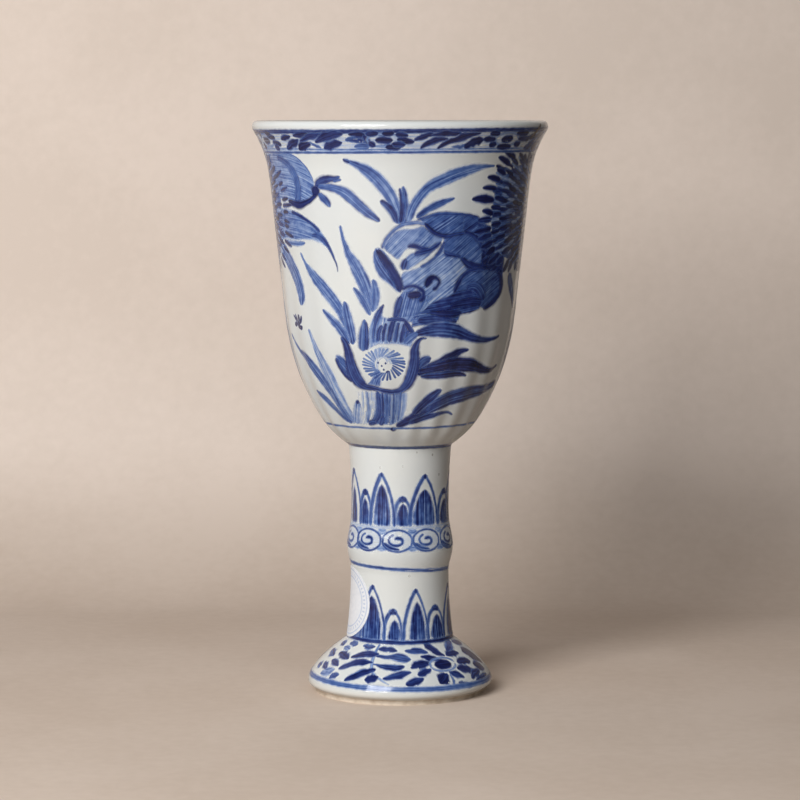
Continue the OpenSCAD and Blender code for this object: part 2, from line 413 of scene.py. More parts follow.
# %% Smooth curves and outlines
def flowing(points, steps):
    """Points along a smooth curve through a few given ones, at even steps or at given shares."""
    points = np.asarray(points, float)
    span = np.linalg.norm(np.diff(points[:, :2], axis=0), axis=1)
    slope = np.diff(points, axis=0) / span[:, None]
    if len(points) == 2:
        tangent = np.repeat(slope, 2, axis=0)
    else:
        inner = slope[:-1] * span[1:, None] + slope[1:] * span[:-1, None]
        inner = inner / (span[:-1] + span[1:])[:, None]
        tangent = np.vstack([2 * slope[0] - inner[0], inner, 2 * slope[-1] - inner[-1]])
    knots = np.concatenate([[0], np.cumsum(span)])
    walk = knots[-1] * (np.linspace(0, 1, steps + 1) if isinstance(steps, int) else steps)
    i = np.clip(np.searchsorted(knots, walk, side="right") - 1, 0, len(span) - 1)
    t = ((walk - knots[i]) / span[i])[:, None]
    reach = span[i][:, None]
    return ((2 * t**3 - 3 * t**2 + 1) * points[i] + (t**3 - 2 * t**2 + t) * reach * tangent[i]
            + (3 * t**2 - 2 * t**3) * points[i + 1] + (t**3 - t**2) * reach * tangent[i + 1])


def dense(rows, step):
    """An outline with its rows about one step apart."""
    length = np.linalg.norm(np.diff(rows, axis=0), axis=1).sum()
    return flowing(rows, max(2, round(length / step)))


row_step = 0.8 * MM
inside_step = 1.6 * row_step
sections = ("foot", "lower_stem", "upper_stem", "bowl")
outside = {name: dense(ring_rows(name), row_step) for name in sections}
inside = {name: dense(ring_rows(name, outside=False), inside_step) for name in sections}
for name in sections:
    print(name, "outline:", len(outside[name]), "rows outside,", len(inside[name]), "inside")

# %% [markdown]
# The outside of the whole cup, from foot to lip, has one radius at each height. With the flutes added,
# that makes a formula for the skin: an angle round the cup and a height give a point and the direction
# it faces. The bowl takes its flutes from it, and later every brush stroke is laid on it.

# %% The skin of the cup as a formula
flutes = 22
crest = np.vstack([outside[name] for name in sections])
crest = crest[:np.argmax(crest[:, 0] * (crest[:, 1] > bowl_rows[1][1])) + 1]
flute_height = [bowl_rows[0][1], bowl_rows[1][1], 154 * MM, 156 * MM]
flute_depth = [0, 0.5 * MM, 0.05 * MM, 0]
probe_turn = 0.2
probe_rise = 0.3 * MM


def flute_dip(angle, height):
    """How far a flute sinks below the crest line. Angles are in degrees from the front."""
    wave = (1 + np.cos(np.radians(flutes * angle))) / 2
    return np.interp(height, flute_height, flute_depth) * wave


def skin(angle, height, lift=0.0):
    """Points on the outside of the cup, lifted off it a little."""
    radius = np.interp(height, crest[:, 1], crest[:, 0]) - flute_dip(angle, height) + lift
    turn = np.radians(angle)
    return np.stack([radius * np.sin(turn), -radius * np.cos(turn), height + 0 * turn], axis=-1)


def skin_facing(angle, height):
    """The direction in which the outside of the cup faces."""
    across = skin(angle + probe_turn, height) - skin(angle - probe_turn, height)
    up = skin(angle, height + probe_rise) - skin(angle, height - probe_rise)
    facing = np.cross(across, up)
    return facing / np.linalg.norm(facing, axis=-1, keepdims=True)


print("skin runs from", round(crest[0, 1] / MM, 1), "to", round(crest[-1, 1] / MM, 1), "mm")

# %% [markdown]
# A potter throws each section on the wheel, so here each outline is spun round the axis: a wire is
# spun once round, the seam is merged and the faces are turned outwards.

# %% Throwing a section
merge_gap = 0.002 * MM
smooth_angle = math.radians(40)


def thrown(name, outline, steps, closed):
    """Spins an outline of radius and height once round, as one smooth closed piece."""
    wire = bpy.data.meshes.new(name)
    corners = [(radius, 0, height) for radius, height in outline]
    edges = [(i, i + 1) for i in range(len(corners) - 1)]
    if closed:
        edges.append((len(corners) - 1, 0))
    wire.from_pydata(corners, edges, [])
    piece = bpy.data.objects.new(name, wire)
    scene.collection.objects.link(piece)
    bpy.ops.object.select_all(action="DESELECT")
    piece.select_set(True)
    bpy.context.view_layer.objects.active = piece
    bpy.ops.object.mode_set(mode="EDIT")
    bpy.ops.mesh.select_all(action="SELECT")
    bpy.ops.mesh.spin(steps=steps, angle=math.tau, center=(0, 0, 0), axis=(0, 0, 1))
    bpy.ops.mesh.select_all(action="SELECT")
    bpy.ops.mesh.remove_doubles(threshold=merge_gap)
    bpy.ops.mesh.normals_make_consistent(inside=False)
    bpy.ops.object.mode_set(mode="OBJECT")
    bpy.ops.object.shade_smooth_by_angle(angle=smooth_angle)
    return piece


def corner_places(mesh):
    """The corners of a mesh as an array."""
    places = np.empty(len(mesh.vertices) * 3)
    mesh.vertices.foreach_get("co", places)
    return places.reshape(-1, 3)


print("seams merge within", merge_gap / MM, "mm")

# %% The foot and the two stem sections
stem_steps = 176
stem_pieces = {}
for name in ("foot", "lower_stem", "upper_stem"):
    outline = np.vstack([outside[name], inside[name][::-1]])
    stem_pieces[name] = thrown("glazed_" + name, outline, stem_steps, closed=True)
    stem_pieces[name].data.materials.append(foot_finish if name == "foot" else glazed)
    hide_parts(name)
    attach(stem_pieces[name], "root")
    print("threw", name, "with", len(stem_pieces[name].data.polygons), "faces")

# %% [markdown]
# The bowl was thrown too, and then pressed over a fluted mould. It is spun in the same way, with enough
# steps for fourteen points on each flute, and its outside is then sunk along the flutes. Its outline
# starts and ends on the axis, so the seat and the floor close at a pole.

# %% The fluted bowl
flute_points = 14
floor_thick = 7.5 * MM
skin_gap = 0.3 * MM

seat_middle = (0, bowl_rows[0][1])
floor_middle = (0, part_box("bowl")[0].z + floor_thick)
bowl_outline = np.vstack([[seat_middle], outside["bowl"], inside["bowl"][::-1][1:], [floor_middle]])
bowl = thrown("glazed_bowl", bowl_outline, flutes * flute_points, closed=False)
places = corner_places(bowl.data)
angle = np.degrees(np.arctan2(places[:, 0], -places[:, 1]))
radius = np.hypot(places[:, 0], places[:, 1])
on_skin = np.abs(radius - np.interp(places[:, 2], crest[:, 1], crest[:, 0])) < skin_gap
sunk = np.where(on_skin, flute_dip(angle, places[:, 2]), 0) / np.maximum(radius, MM)
places[:, :2] *= (1 - sunk)[:, None]
bowl.data.vertices.foreach_set("co", places.ravel())
bowl.data.update()
bowl.data.materials.append(glazed)
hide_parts("bowl")
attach(bowl, "root")
print("bowl has", len(bowl.data.polygons), "faces, and", int(on_skin.sum()), "corners on the skin")

# %% [markdown]
# The seams keep their packed rings of slip. The glaze runs over them, so they take the same finish.

# %% Seams
for name in ("bowl_seam_slip", "mid_seam_slip", "foot_seam_slip"):
    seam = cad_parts[name]
    seam.data.materials.clear()
    seam.data.materials.append(glazed)
print("seams glazed")

# %% [markdown]
# The decoration was brushed on the dry clay with cobalt and then glazed over. A brush leaves a wash
# that is streaked along the stroke, darker where the colour pooled and soft at its rim, where cobalt
# bleeds into the glass. Each mark is made here as a thin film that follows the skin, given by a few
# listed points: an angle in degrees from the front, a height in millimetres and a brush width in
# millimetres. The film keeps how far each corner is from the rim, how much cobalt it got and how
# streaked it is.

# %% Measures on the skin
scale_probe = 0.4


def skin_scale(height):
    """Millimetres on the skin per degree round the cup, and per millimetre of height."""
    near = [height - scale_probe, height, height + scale_probe]
    radius = np.interp(near, crest[:, 1] / MM, crest[:, 0] / MM)
    return np.radians(radius[1]), np.hypot(1, (radius[2] - radius[0]) / (2 * scale_probe))


def path_length(angle, height):
    """Length walked along a path on the skin, in millimetres."""
    wide, tall = skin_scale(height)
    steps = np.hypot(np.diff(angle) * wide[1:], np.diff(height) * tall[1:])
    return np.concatenate([[0], np.cumsum(steps)])


print("one degree is", round(float(skin_scale(flute_height[2] / MM)[0]), 2), "mm where the flutes end")

# %% What a film is
film_cell = 0.85


def film_of(angle, height, edge, u, v, **marks):
    """A film: its places, its distance from the rim, its map along the brush and its brush marks."""
    film = {"angle": angle, "height": height, "edge": edge, "u": u, "v": v}
    film.update({key: value + 0 * edge for key, value in marks.items()})
    return film


def across_film(width):
    """Even places across a film from -1 to 1, enough of them for its greatest width."""
    cells = 2 * max(2, math.ceil(width.max() / (2 * film_cell)))
    return np.linspace(-1, 1, cells + 1)[None, :]


print("film cells of", film_cell, "mm")

# %% A brush stroke
bleed = 1.5
bleed_least = 0.6
bleed_share = 0.5
brush_gain = 1.28
open_rim = 0.35
pool_line = 0.08
streak_pale, streak_drop = 0.42, 0.26
rough_steps = 24
stroke_rows = 4
cap_shares = np.array([0, 0.06, 0.25, 0.6])
cap_most = 0.4
cap_least = 0.002
width_least = 0.1


def bleed_of(width):
    """How far cobalt bleeds at the rim of a brush mark of some width."""
    return np.clip(bleed_least + bleed_share * width, bleed_least, bleed)


def stroke(tone, points, streak=None, line=pool_line, gain=1.0, cell=film_cell, soft=None, rim=open_rim):
    """A brush stroke through points of angle, height and width, rounded at both ends."""
    streak = streak_pale - streak_drop * tone if streak is None else streak
    length = path_length(*flowing(points, rough_steps).T[:2])[-1]
    tips = [points[i][2] * brush_gain * gain + (soft or bleed_of(points[i][2])) for i in (0, -1)]
    ends = [min(tip / 2 / length, cap_most) for tip in tips]
    inner = np.linspace(ends[0], 1 - ends[1], max(stroke_rows, math.ceil(length / cell)))
    shares = np.concatenate([cap_shares * ends[0], inner, (1 - cap_shares * ends[1])[::-1]])
    angle, height, width = flowing(points, shares).T
    soft = soft or bleed_of(width)[:, None]
    width = np.maximum(width, width_least) * brush_gain * gain + np.ravel(soft)
    caps = np.minimum(np.minimum(shares / ends[0], (1 - shares) / ends[1]), 1)
    width *= np.sqrt(np.maximum(1 - (1 - caps) ** 2, cap_least))
    wide, tall = skin_scale(height)
    along = np.stack([np.gradient(angle) * wide, np.gradient(height) * tall])
    along /= np.maximum(np.hypot(*along), 1e-6)
    side, half = across_film(width), width[:, None] / 2
    return film_of(angle[:, None] - side * half * (along[1] / wide)[:, None],
                   height[:, None] + side * half * (along[0] / tall)[:, None],
                   half * (1 - abs(side)) * bleed / soft,
                   path_length(angle, height)[:, None] + 0 * side, side * half,
                   tone=tone, streak=streak, line=line, rim=rim)


print("cobalt bleeds by", bleed_least, "to", bleed, "mm")

# %% A wash between two rails
wash_spread = 0.85
wash_end = 0.3
wash_rows = 6


def wash(tone, rail_a, rail_b, streak, grain=None, line=pool_line, end_tone=None, rim=open_rim):
    """A wash that fills the space between two rails, streaked along them or along a grain angle."""
    lengths = [path_length(*flowing(rail, rough_steps).T)[-1] for rail in (rail_a, rail_b)]
    steps = max(wash_rows, math.ceil(max(lengths) / film_cell))
    (angle_a, height_a), (angle_b, height_b) = [flowing(rail, steps).T for rail in (rail_a, rail_b)]
    wide, tall = skin_scale((height_a + height_b) / 2)
    width = np.hypot((angle_a - angle_b) * wide, (height_a - height_b) * tall)[:, None]
    spread = across_film(width) * (0.5 + np.minimum(wash_spread / np.maximum(width, width_least), 0.5))
    angle = (angle_a + angle_b)[:, None] / 2 + (angle_b - angle_a)[:, None] * spread
    height = (height_a + height_b)[:, None] / 2 + (height_b - height_a)[:, None] * spread
    walked = path_length((angle_a + angle_b) / 2, (height_a + height_b) / 2)[:, None] + 0 * spread
    ends = np.minimum(walked, walked[-1:] - walked) + wash_end
    edge = np.minimum(width * (spread.max(axis=1, keepdims=True) - abs(spread)), ends)
    u, v = walked, width * spread
    if grain is not None:
        flat, turn = angle * wide.mean(), math.radians(grain)
        u = flat * math.cos(turn) + height * math.sin(turn)
        v = height * math.cos(turn) - flat * math.sin(turn)
    fade = np.linspace(tone, tone if end_tone is None else end_tone, steps + 1)[:, None]
    return film_of(angle, height, edge, u, v, tone=fade, streak=streak, line=line, rim=rim)


print("a wash passes its rails by", wash_spread, "mm")

# %% The hand that holds the brush
brush_seed = 11
line_streak = 0.2
ring_points = 30
ring_sweep = 366
ring_wobble = 0.03
ring_press = (0.92, 1.08)
ring_pool = 0.1
shake_shares = (1.5, 1)
taper_reach, taper_width = 0.2, 0.3
hand_points = 6
hand_press = 0.22
hand_push = 0.1
painter = np.random.default_rng(brush_seed)


def ring_line(height, width, tone, tilt, start):
    """A line brushed round the turning cup. It tilts a little, and its end overlaps its start."""
    angle = np.linspace(start, start + ring_sweep, ring_points)
    wobble = np.cumsum(painter.normal(0, ring_wobble, ring_points))
    wobble -= np.linspace(0, wobble[-1], ring_points)
    rise = height + tilt * np.sin(np.radians(angle)) + wobble
    brush = width * painter.uniform(*ring_press, ring_points)
    return stroke(tone, np.stack([angle, rise, brush], axis=1), line_streak, ring_pool)


def turned(points, turn=0.0, shake=0.0):
    """Points moved round the cup, and shaken a little where the hand repeats itself."""
    points = np.array(points, float)
    points[:, 0] += turn
    if shake:
        points[:, :2] += painter.normal(0, shake, (len(points), 2)) * shake_shares
    return points


def tapered(points):
    """A dab drawn out at both ends, as the brush lands and lifts."""
    points = np.array(points, float)
    points[[0, -1], :2] += taper_reach * (points[[0, -1], :2] - points[[1, -2], :2])
    points[[0, -1], 2] *= taper_width
    return points


def uneven(points):
    """A dab by a quick hand: more points along it, each pressed and pushed a little."""
    points = flowing(points, hand_points + 1)
    points[1:-1, 2] *= painter.uniform(1 - hand_press, 1 + hand_press, hand_points)
    points[1:-1, 1] += painter.normal(0, hand_push, hand_points)
    return points


print("a quick dab is pressed at", hand_points, "points")

# %% [markdown]
# Strokes cross each other, so a later one must lie above an earlier one. A coarse map of the skin
# remembers how many films lie on each spot, and a new film goes one layer above the most it meets.
# For a flat picture of the films each gets its own strip on a sheet, the strips shelved by width.

# %% Layers of film
film_lift = 0.02
film_layer = 0.007
spot_size = 0.6
core_edge, core_share = 0.7, 0.6
refine_times = 3
layers = {}


def refined(values):
    """A film's values with further rows between its own."""
    rows = np.arange((len(values) - 1) * refine_times + 1) / refine_times
    low = np.minimum(rows.astype(int), len(values) - 2)
    share = (rows - low)[:, None]
    return values[low] * (1 - share) + values[low + 1] * share


def film_level(film):
    """The layer on which a film lies, above every film whose full colour it meets."""
    angle, height, edge = [refined(film[key]) for key in ("angle", "height", "edge")]
    full = edge > min(core_edge, core_share * edge.max())
    flat = angle % 360 * skin_scale(height)[0]
    spots = set(zip(np.round(flat[full] / spot_size), np.round(height[full] / spot_size)))
    level = 1 + max(layers.get(spot, -1) for spot in spots)
    layers.update(dict.fromkeys(spots, level))
    return level


print("layers of film are", film_layer, "mm apart")

# %% Strips on a flat sheet
strip_gap = 0.5
sheet_spare = 1.15


def film_size(film):
    """Length and greatest width of a film, in millimetres."""
    length = path_length(film["angle"].mean(axis=1), film["height"].mean(axis=1))[-1]
    wide, tall = skin_scale(film["height"].mean(axis=1))
    across = np.hypot((film["angle"][:, 0] - film["angle"][:, -1]) * wide,
                      (film["height"][:, 0] - film["height"][:, -1]) * tall)
    return length, across.max()


def shelved(sizes):
    """Places for strips of the given lengths and widths on one square sheet, and the sheet's side."""
    area = sum((length + strip_gap) * (width + strip_gap) for length, width in sizes)
    sheet = max(math.sqrt(area * sheet_spare), max(length for length, width in sizes) + 2 * strip_gap)
    places, x, y, shelf = {}, strip_gap, strip_gap, 0
    for i in sorted(range(len(sizes)), key=lambda i: -sizes[i][1]):
        if x + sizes[i][0] + strip_gap > sheet:
            x, y, shelf = strip_gap, y + shelf + strip_gap, 0
        places[i] = (x, y)
        shelf = max(shelf, sizes[i][1])
        x += sizes[i][0] + strip_gap
    return places, max(sheet, y + shelf + strip_gap)


def film_strip(film, corner, size, sheet):
    """Where the corners of a film lie on the sheet, as shares of its side."""
    shares = [np.linspace(0, 1, count) for count in film["angle"].shape]
    down, right = np.meshgrid(*shares, indexing="ij")
    spread = np.stack([corner[0] + down * size[0], corner[1] + right * size[1]], axis=-1)
    return spread.reshape(-1, 2) / sheet


print("strips lie", strip_gap, "mm apart on their sheet")

# %% Laying films on the cup
brush_keys = ("edge", "tone", "streak", "line", "rim")
stroke_shift = 900


def film_faces(film):
    """The faces between the corners of a film, turned so that they look outwards."""
    rows, cols = film["angle"].shape
    down = [np.diff(film[key], axis=0)[:, :-1] for key in ("angle", "height")]
    right = [np.diff(film[key], axis=1)[:-1] for key in ("angle", "height")]
    turn = (down[0] * right[1] - down[1] * right[0]).sum()
    grid = np.arange(rows * cols).reshape(rows, cols)
    quads = [grid[:-1, :-1], grid[1:, :-1], grid[1:, 1:], grid[:-1, 1:]]
    return np.stack(quads if turn > 0 else quads[::-1], axis=-1).reshape(-1, 4)


def film_mesh(name, columns, faces):
    """A mesh of films with their brush data, their two maps and the skin's own facing."""
    mesh = bpy.data.meshes.new(name)
    mesh.from_pydata(columns["place"].tolist(), [], faces.tolist())
    for key in brush_keys:
        mesh.attributes.new(key, "FLOAT", "POINT").data.foreach_set("value", columns[key])
    corners = np.empty(len(mesh.loops), int)
    mesh.loops.foreach_get("vertex_index", corners)
    for key, layer_name in (("stroke", "stroke"), ("sheet", "OFBake")):
        mesh.uv_layers.new(name=layer_name).data.foreach_set("uv", columns[key][corners].ravel())
    mesh.shade_smooth()
    mesh.normals_split_custom_set_from_vertices(columns["facing"].tolist())
    return mesh


def lay(name, films, finish):
    """Joins films into one thin piece on the skin, with their brush data as attributes."""
    columns = {key: [] for key in ("place", "facing", "stroke", "sheet") + brush_keys}
    faces, base, top = [], 0, 0
    sizes = [film_size(film) for film in films]
    strips, sheet = shelved(sizes)
    for i, film in enumerate(films):
        level = film_level(film)
        top = max(top, level)
        lift = (film_lift + film_layer * level) * MM
        columns["place"].append(skin(film["angle"], film["height"] * MM, lift).reshape(-1, 3))
        columns["facing"].append(skin_facing(film["angle"], film["height"] * MM).reshape(-1, 3))
        shift = painter.uniform(0, stroke_shift)
        columns["stroke"].append(np.stack([film["u"] + shift, film["v"] + shift], axis=-1).reshape(-1, 2))
        columns["sheet"].append(film_strip(film, strips[i], sizes[i], sheet))
        for key in brush_keys:
            columns[key].append(film[key].ravel())
        faces.append(base + film_faces(film))
        base += film["angle"].size
    columns = {key: np.concatenate(parts) for key, parts in columns.items()}
    piece = bpy.data.objects.new(name, film_mesh(name, columns, np.concatenate(faces)))
    piece.data.materials.append(finish)
    piece.visible_shadow = False
    piece.visible_diffuse = False
    scene.collection.objects.link(piece)
    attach(piece, "root")
    print(name, "has", len(films), "films on", top + 1, "layers,", len(piece.data.polygons), "faces")


print("films keep their", ", ".join(brush_keys))

# %% [markdown]
# Cobalt colours the glass above it, so its blue multiplies the white of the glaze: a thin wash is a
# pale sky blue, a full brush is a violet blue and a pool is nearly black. The group turns the brush
# data into that thickness. Noise stretched along the stroke gives the hairs' streaks, and a second noise
# mottles them and frays the rim. It also gives how much a film covers, so that the rim melts into
# whatever lies under it.

# %% Cobalt as a node group
cobalt_stops = [(0.0, (1.0, 1.0, 1.0)), (0.25, (0.41, 0.54, 0.88)), (0.55, (0.09, 0.18, 0.51)),
                (0.8, (0.022, 0.044, 0.23)), (1.0, (0.007, 0.011, 0.085))]
noise_span = (0.25, 0.75)
mottle_scale, mottle_detail = (0.5, 0.5), 2.0
mottle_share = 0.35
hair_scale, hair_detail = (0.07, 2.2), 3.0
fray_share = 0.16
pool_reach = (0.6, 1.8)
thick_least = 0.02
cover_thick = 0.16
cover_reach = 0.75 * bleed

cobalt, entry, result = new_group(
    "cobalt_wash",
    {"White": "Color", "Stroke": "Vector", "Edge": "Float", "Tone": "Float", "Streak": "Float",
     "Line": "Float", "Rim": "Float"}, {"Color": "Color", "Cover": "Float"})


def stroke_noise(scales, detail):
    """Noise with its own scale along and across the brush, in features per millimetre."""
    stretched = node(cobalt, "Mapping", {"Vector": entry["Stroke"], "Scale": (*scales, 1)})
    made = node(cobalt, "TexNoise", {"Vector": stretched.outputs[0], "Scale": 1.0, "Detail": detail})
    return scaled(cobalt, made.outputs["Fac"], *noise_span, -1.0, 1.0, smooth=False)


mottle = stroke_noise(mottle_scale, mottle_detail)
hairs = maths(cobalt, "ADD", stroke_noise(hair_scale, hair_detail),
              maths(cobalt, "MULTIPLY", mottle, mottle_share))
frayed = maths(cobalt, "ADD", entry["Edge"], maths(cobalt, "MULTIPLY", mottle, fray_share))
pool = maths(cobalt, "MULTIPLY", scaled(cobalt, frayed, *pool_reach, 1.0, 0.0), entry["Line"])
thick = maths(cobalt, "ADD", entry["Tone"], maths(cobalt, "MULTIPLY", hairs, entry["Streak"]))
thick = maths(cobalt, "MAXIMUM", maths(cobalt, "ADD", thick, pool), thick_least)
thick = maths(cobalt, "MULTIPLY", thick, scaled(cobalt, frayed, 0.0, bleed, entry["Rim"], 1.0))
cover = maths(cobalt, "MULTIPLY", scaled(cobalt, frayed, 0.0, cover_reach),
              scaled(cobalt, thick, 0.0, cover_thick))
blue = ramp(cobalt, thick, cobalt_stops)
cobalt.links.new(multiplied(cobalt, entry["White"], blue), result.inputs["Color"])
cobalt.links.new(cover, result.inputs["Cover"])
print("cobalt group has", len(cobalt.nodes), "nodes")

# %% Cobalt under the glaze
painted, tree, shader, place = new_material("cobalt_under_glaze")
outputs = place_glaze(tree, shader, place)
brush_data = {name.capitalize(): node(tree, "Attribute", attribute_name=name).outputs["Fac"]
              for name in brush_keys}
brush_data["White"] = outputs["Color"]
brush_data["Stroke"] = node(tree, "UVMap", uv_map="stroke").outputs["UV"]
laid = node(tree, "Group", node_tree=cobalt)
for socket, value in brush_data.items():
    tree.links.new(value, laid.inputs[socket])
tree.links.new(laid.outputs["Color"], shader.inputs["Base Color"])
tree.links.new(laid.outputs["Cover"], shader.inputs["Alpha"])
print("painted finish reads", len(brush_data), "inputs")

# %% [markdown]
# The pond scene fills the front of the bowl and is repeated on the back. It is painted plant by plant.
# First the grasses: long leaves that leave their root thin, swell and end in a drawn-out tip. Each
# entry below is one leaf: how much cobalt, then its points from root to tip.

# %% Leaves of the pond scene
tuft = [
    (0.50, (0, 140.6, 1.6), (-2, 146, 2.6), (-7, 151.5, 3.6), (-14, 156, 3.0), (-19, 157.8, 1.6),
     (-23.5, 159, 0.7)),
    (0.85, (-24.3, 159.3, 0.5), (-23, 158.8, 1.0), (-21, 158.4, 0.5)),
    (0.72, (-1, 140.8, 1.4), (-4, 145, 2.0), (-8.8, 147.5, 0.8)),
    (0.60, (1, 140.5, 2.0), (2, 146, 2.2), (1.2, 151.8, 0.6)),
    (0.80, (0, 141, 1.2), (1, 147, 1.4), (-0.3, 151.2, 0.5)),
    (0.52, (3.5, 141, 1.5), (6, 146, 2.2), (11, 150.5, 2.6), (20, 153.8, 3.4), (31, 156.2, 2.6),
     (38, 157, 1.2), (44, 157.2, 0.4)),
    (0.62, (7, 142.5, 1.0), (13, 145.3, 1.8), (19, 147, 1.6), (24.5, 148.2, 0.4)),
]
left_leaves = [
    (0.50, (-24, 106, 1.2), (-29, 114.5, 3.0), (-38, 121.5, 3.4), (-46, 126.3, 2.6), (-50, 129, 0.9),
     (-53, 132.3, 0.7)),
    (0.55, (-24, 106, 1.6), (-25.5, 112, 2.8), (-27.5, 118.7, 0.8)),
    (0.55, (-26, 106, 1.4), (-31, 110.5, 2.6), (-36, 113.5, 1.8), (-40.5, 116, 0.5)),
    (0.52, (-13, 115.5, 1.2), (-16, 122, 3.6), (-21, 129, 3.2), (-24.5, 133, 1.8), (-26.5, 137, 0.9),
     (-27.5, 140.5, 0.7)),
    (0.55, (-13, 116, 1.2), (-11.5, 120.5, 2.2), (-12.8, 125.2, 0.7)),
    (0.52, (-14.5, 114.5, 0.8), (-18.5, 119.5, 1.8), (-22.5, 122.7, 0.6)),
    (0.30, (-35, 82, 1.4), (-40, 91, 3.2), (-45, 99, 4.0), (-49, 104, 2.0), (-52.5, 110, 0.5)),
    (0.55, (-37, 82.5, 1.0), (-42, 88, 2.4), (-50, 95, 3.2), (-59, 101, 2.8), (-66, 103, 1.2),
     (-73, 108, 0.5)),
    (0.52, (-37, 82, 1.0), (-42, 88, 1.8), (-44, 92.5, 0.5)),
    (0.60, (-38, 82.5, 1.0), (-48, 86.5, 2.0), (-55, 89.8, 1.8), (-60, 91.5, 0.6)),
    (0.50, (-73, 133, 2.5), (-64, 129, 5.0), (-57, 123, 4.0), (-55.5, 119, 3.0), (-57, 116.5, 1.0)),
    (0.65, (64, 126, 3.0), (69, 121, 2.5), (75, 115, 0.6)),
]
right_leaves = [
    (0.72, (8, 113, 1.5), (14, 113.3, 2.2), (22, 113.2, 2.2), (29, 112.6, 0.8)),
    (0.70, (7, 109.3, 1.0), (14, 110.2, 2.8), (22, 110.4, 3.8), (30, 109.6, 3.4), (38, 107.9, 2.2),
     (46, 106.9, 1.5), (54, 106.9, 1.0), (61, 107.7, 0.4)),
    (0.62, (9, 98.6, 1.6), (11, 100.5, 2.4), (14, 101.8, 2.2), (16.6, 102, 1.2)),
    (0.85, (12, 98.5, 2.0), (20, 100.2, 2.6), (28, 102.6, 2.6), (34, 104, 1.4), (38, 104.2, 0.5)),
    (0.88, (8, 97.8, 1.6), (18, 98.7, 3.0), (28, 99.7, 4.0), (38, 99.8, 3.8), (46, 98.9, 2.8),
     (54, 97.7, 1.8), (61, 97.6, 1.1), (67.5, 98.8, 0.5)),
    (0.78, (11, 96.8, 0.8), (20, 96.9, 1.6), (30, 97.2, 1.6), (36, 97, 1.0), (39.5, 96.4, 0.4)),
    (0.70, (-3, 81.6, 1.6), (6, 83.6, 2.4), (15, 86.2, 3.2), (25, 88.7, 4.0), (36, 90.4, 4.2),
     (47, 91.2, 3.8), (57, 91.6, 2.8), (66, 92.2, 2.0), (74, 93, 1.6), (79, 93.3, 0.4)),
    (0.70, (8, 85.5, 1.4), (14, 88.2, 2.2), (20, 90.9, 2.4), (23.5, 92.4, 1.2), (25, 92.6, 0.4)),
    (0.70, (6, 82.6, 1.0), (14, 83.8, 1.6), (22, 84.9, 1.6), (29, 85.6, 0.9), (34, 85.6, 0.6),
     (38, 84.6, 0.3)),
]
print(len(tuft) + len(left_leaves) + len(right_leaves), "leaves")

# %% [markdown]
# Above the grasses a big lotus leaf curls over itself. Its lobes are broad washes brushed slantwise,
# each between two rails, with white left where a fold catches the light. Dark strokes along the lower
# rims make the folds turn under. A lobe is its tone, the slant of the brush and its two rails.

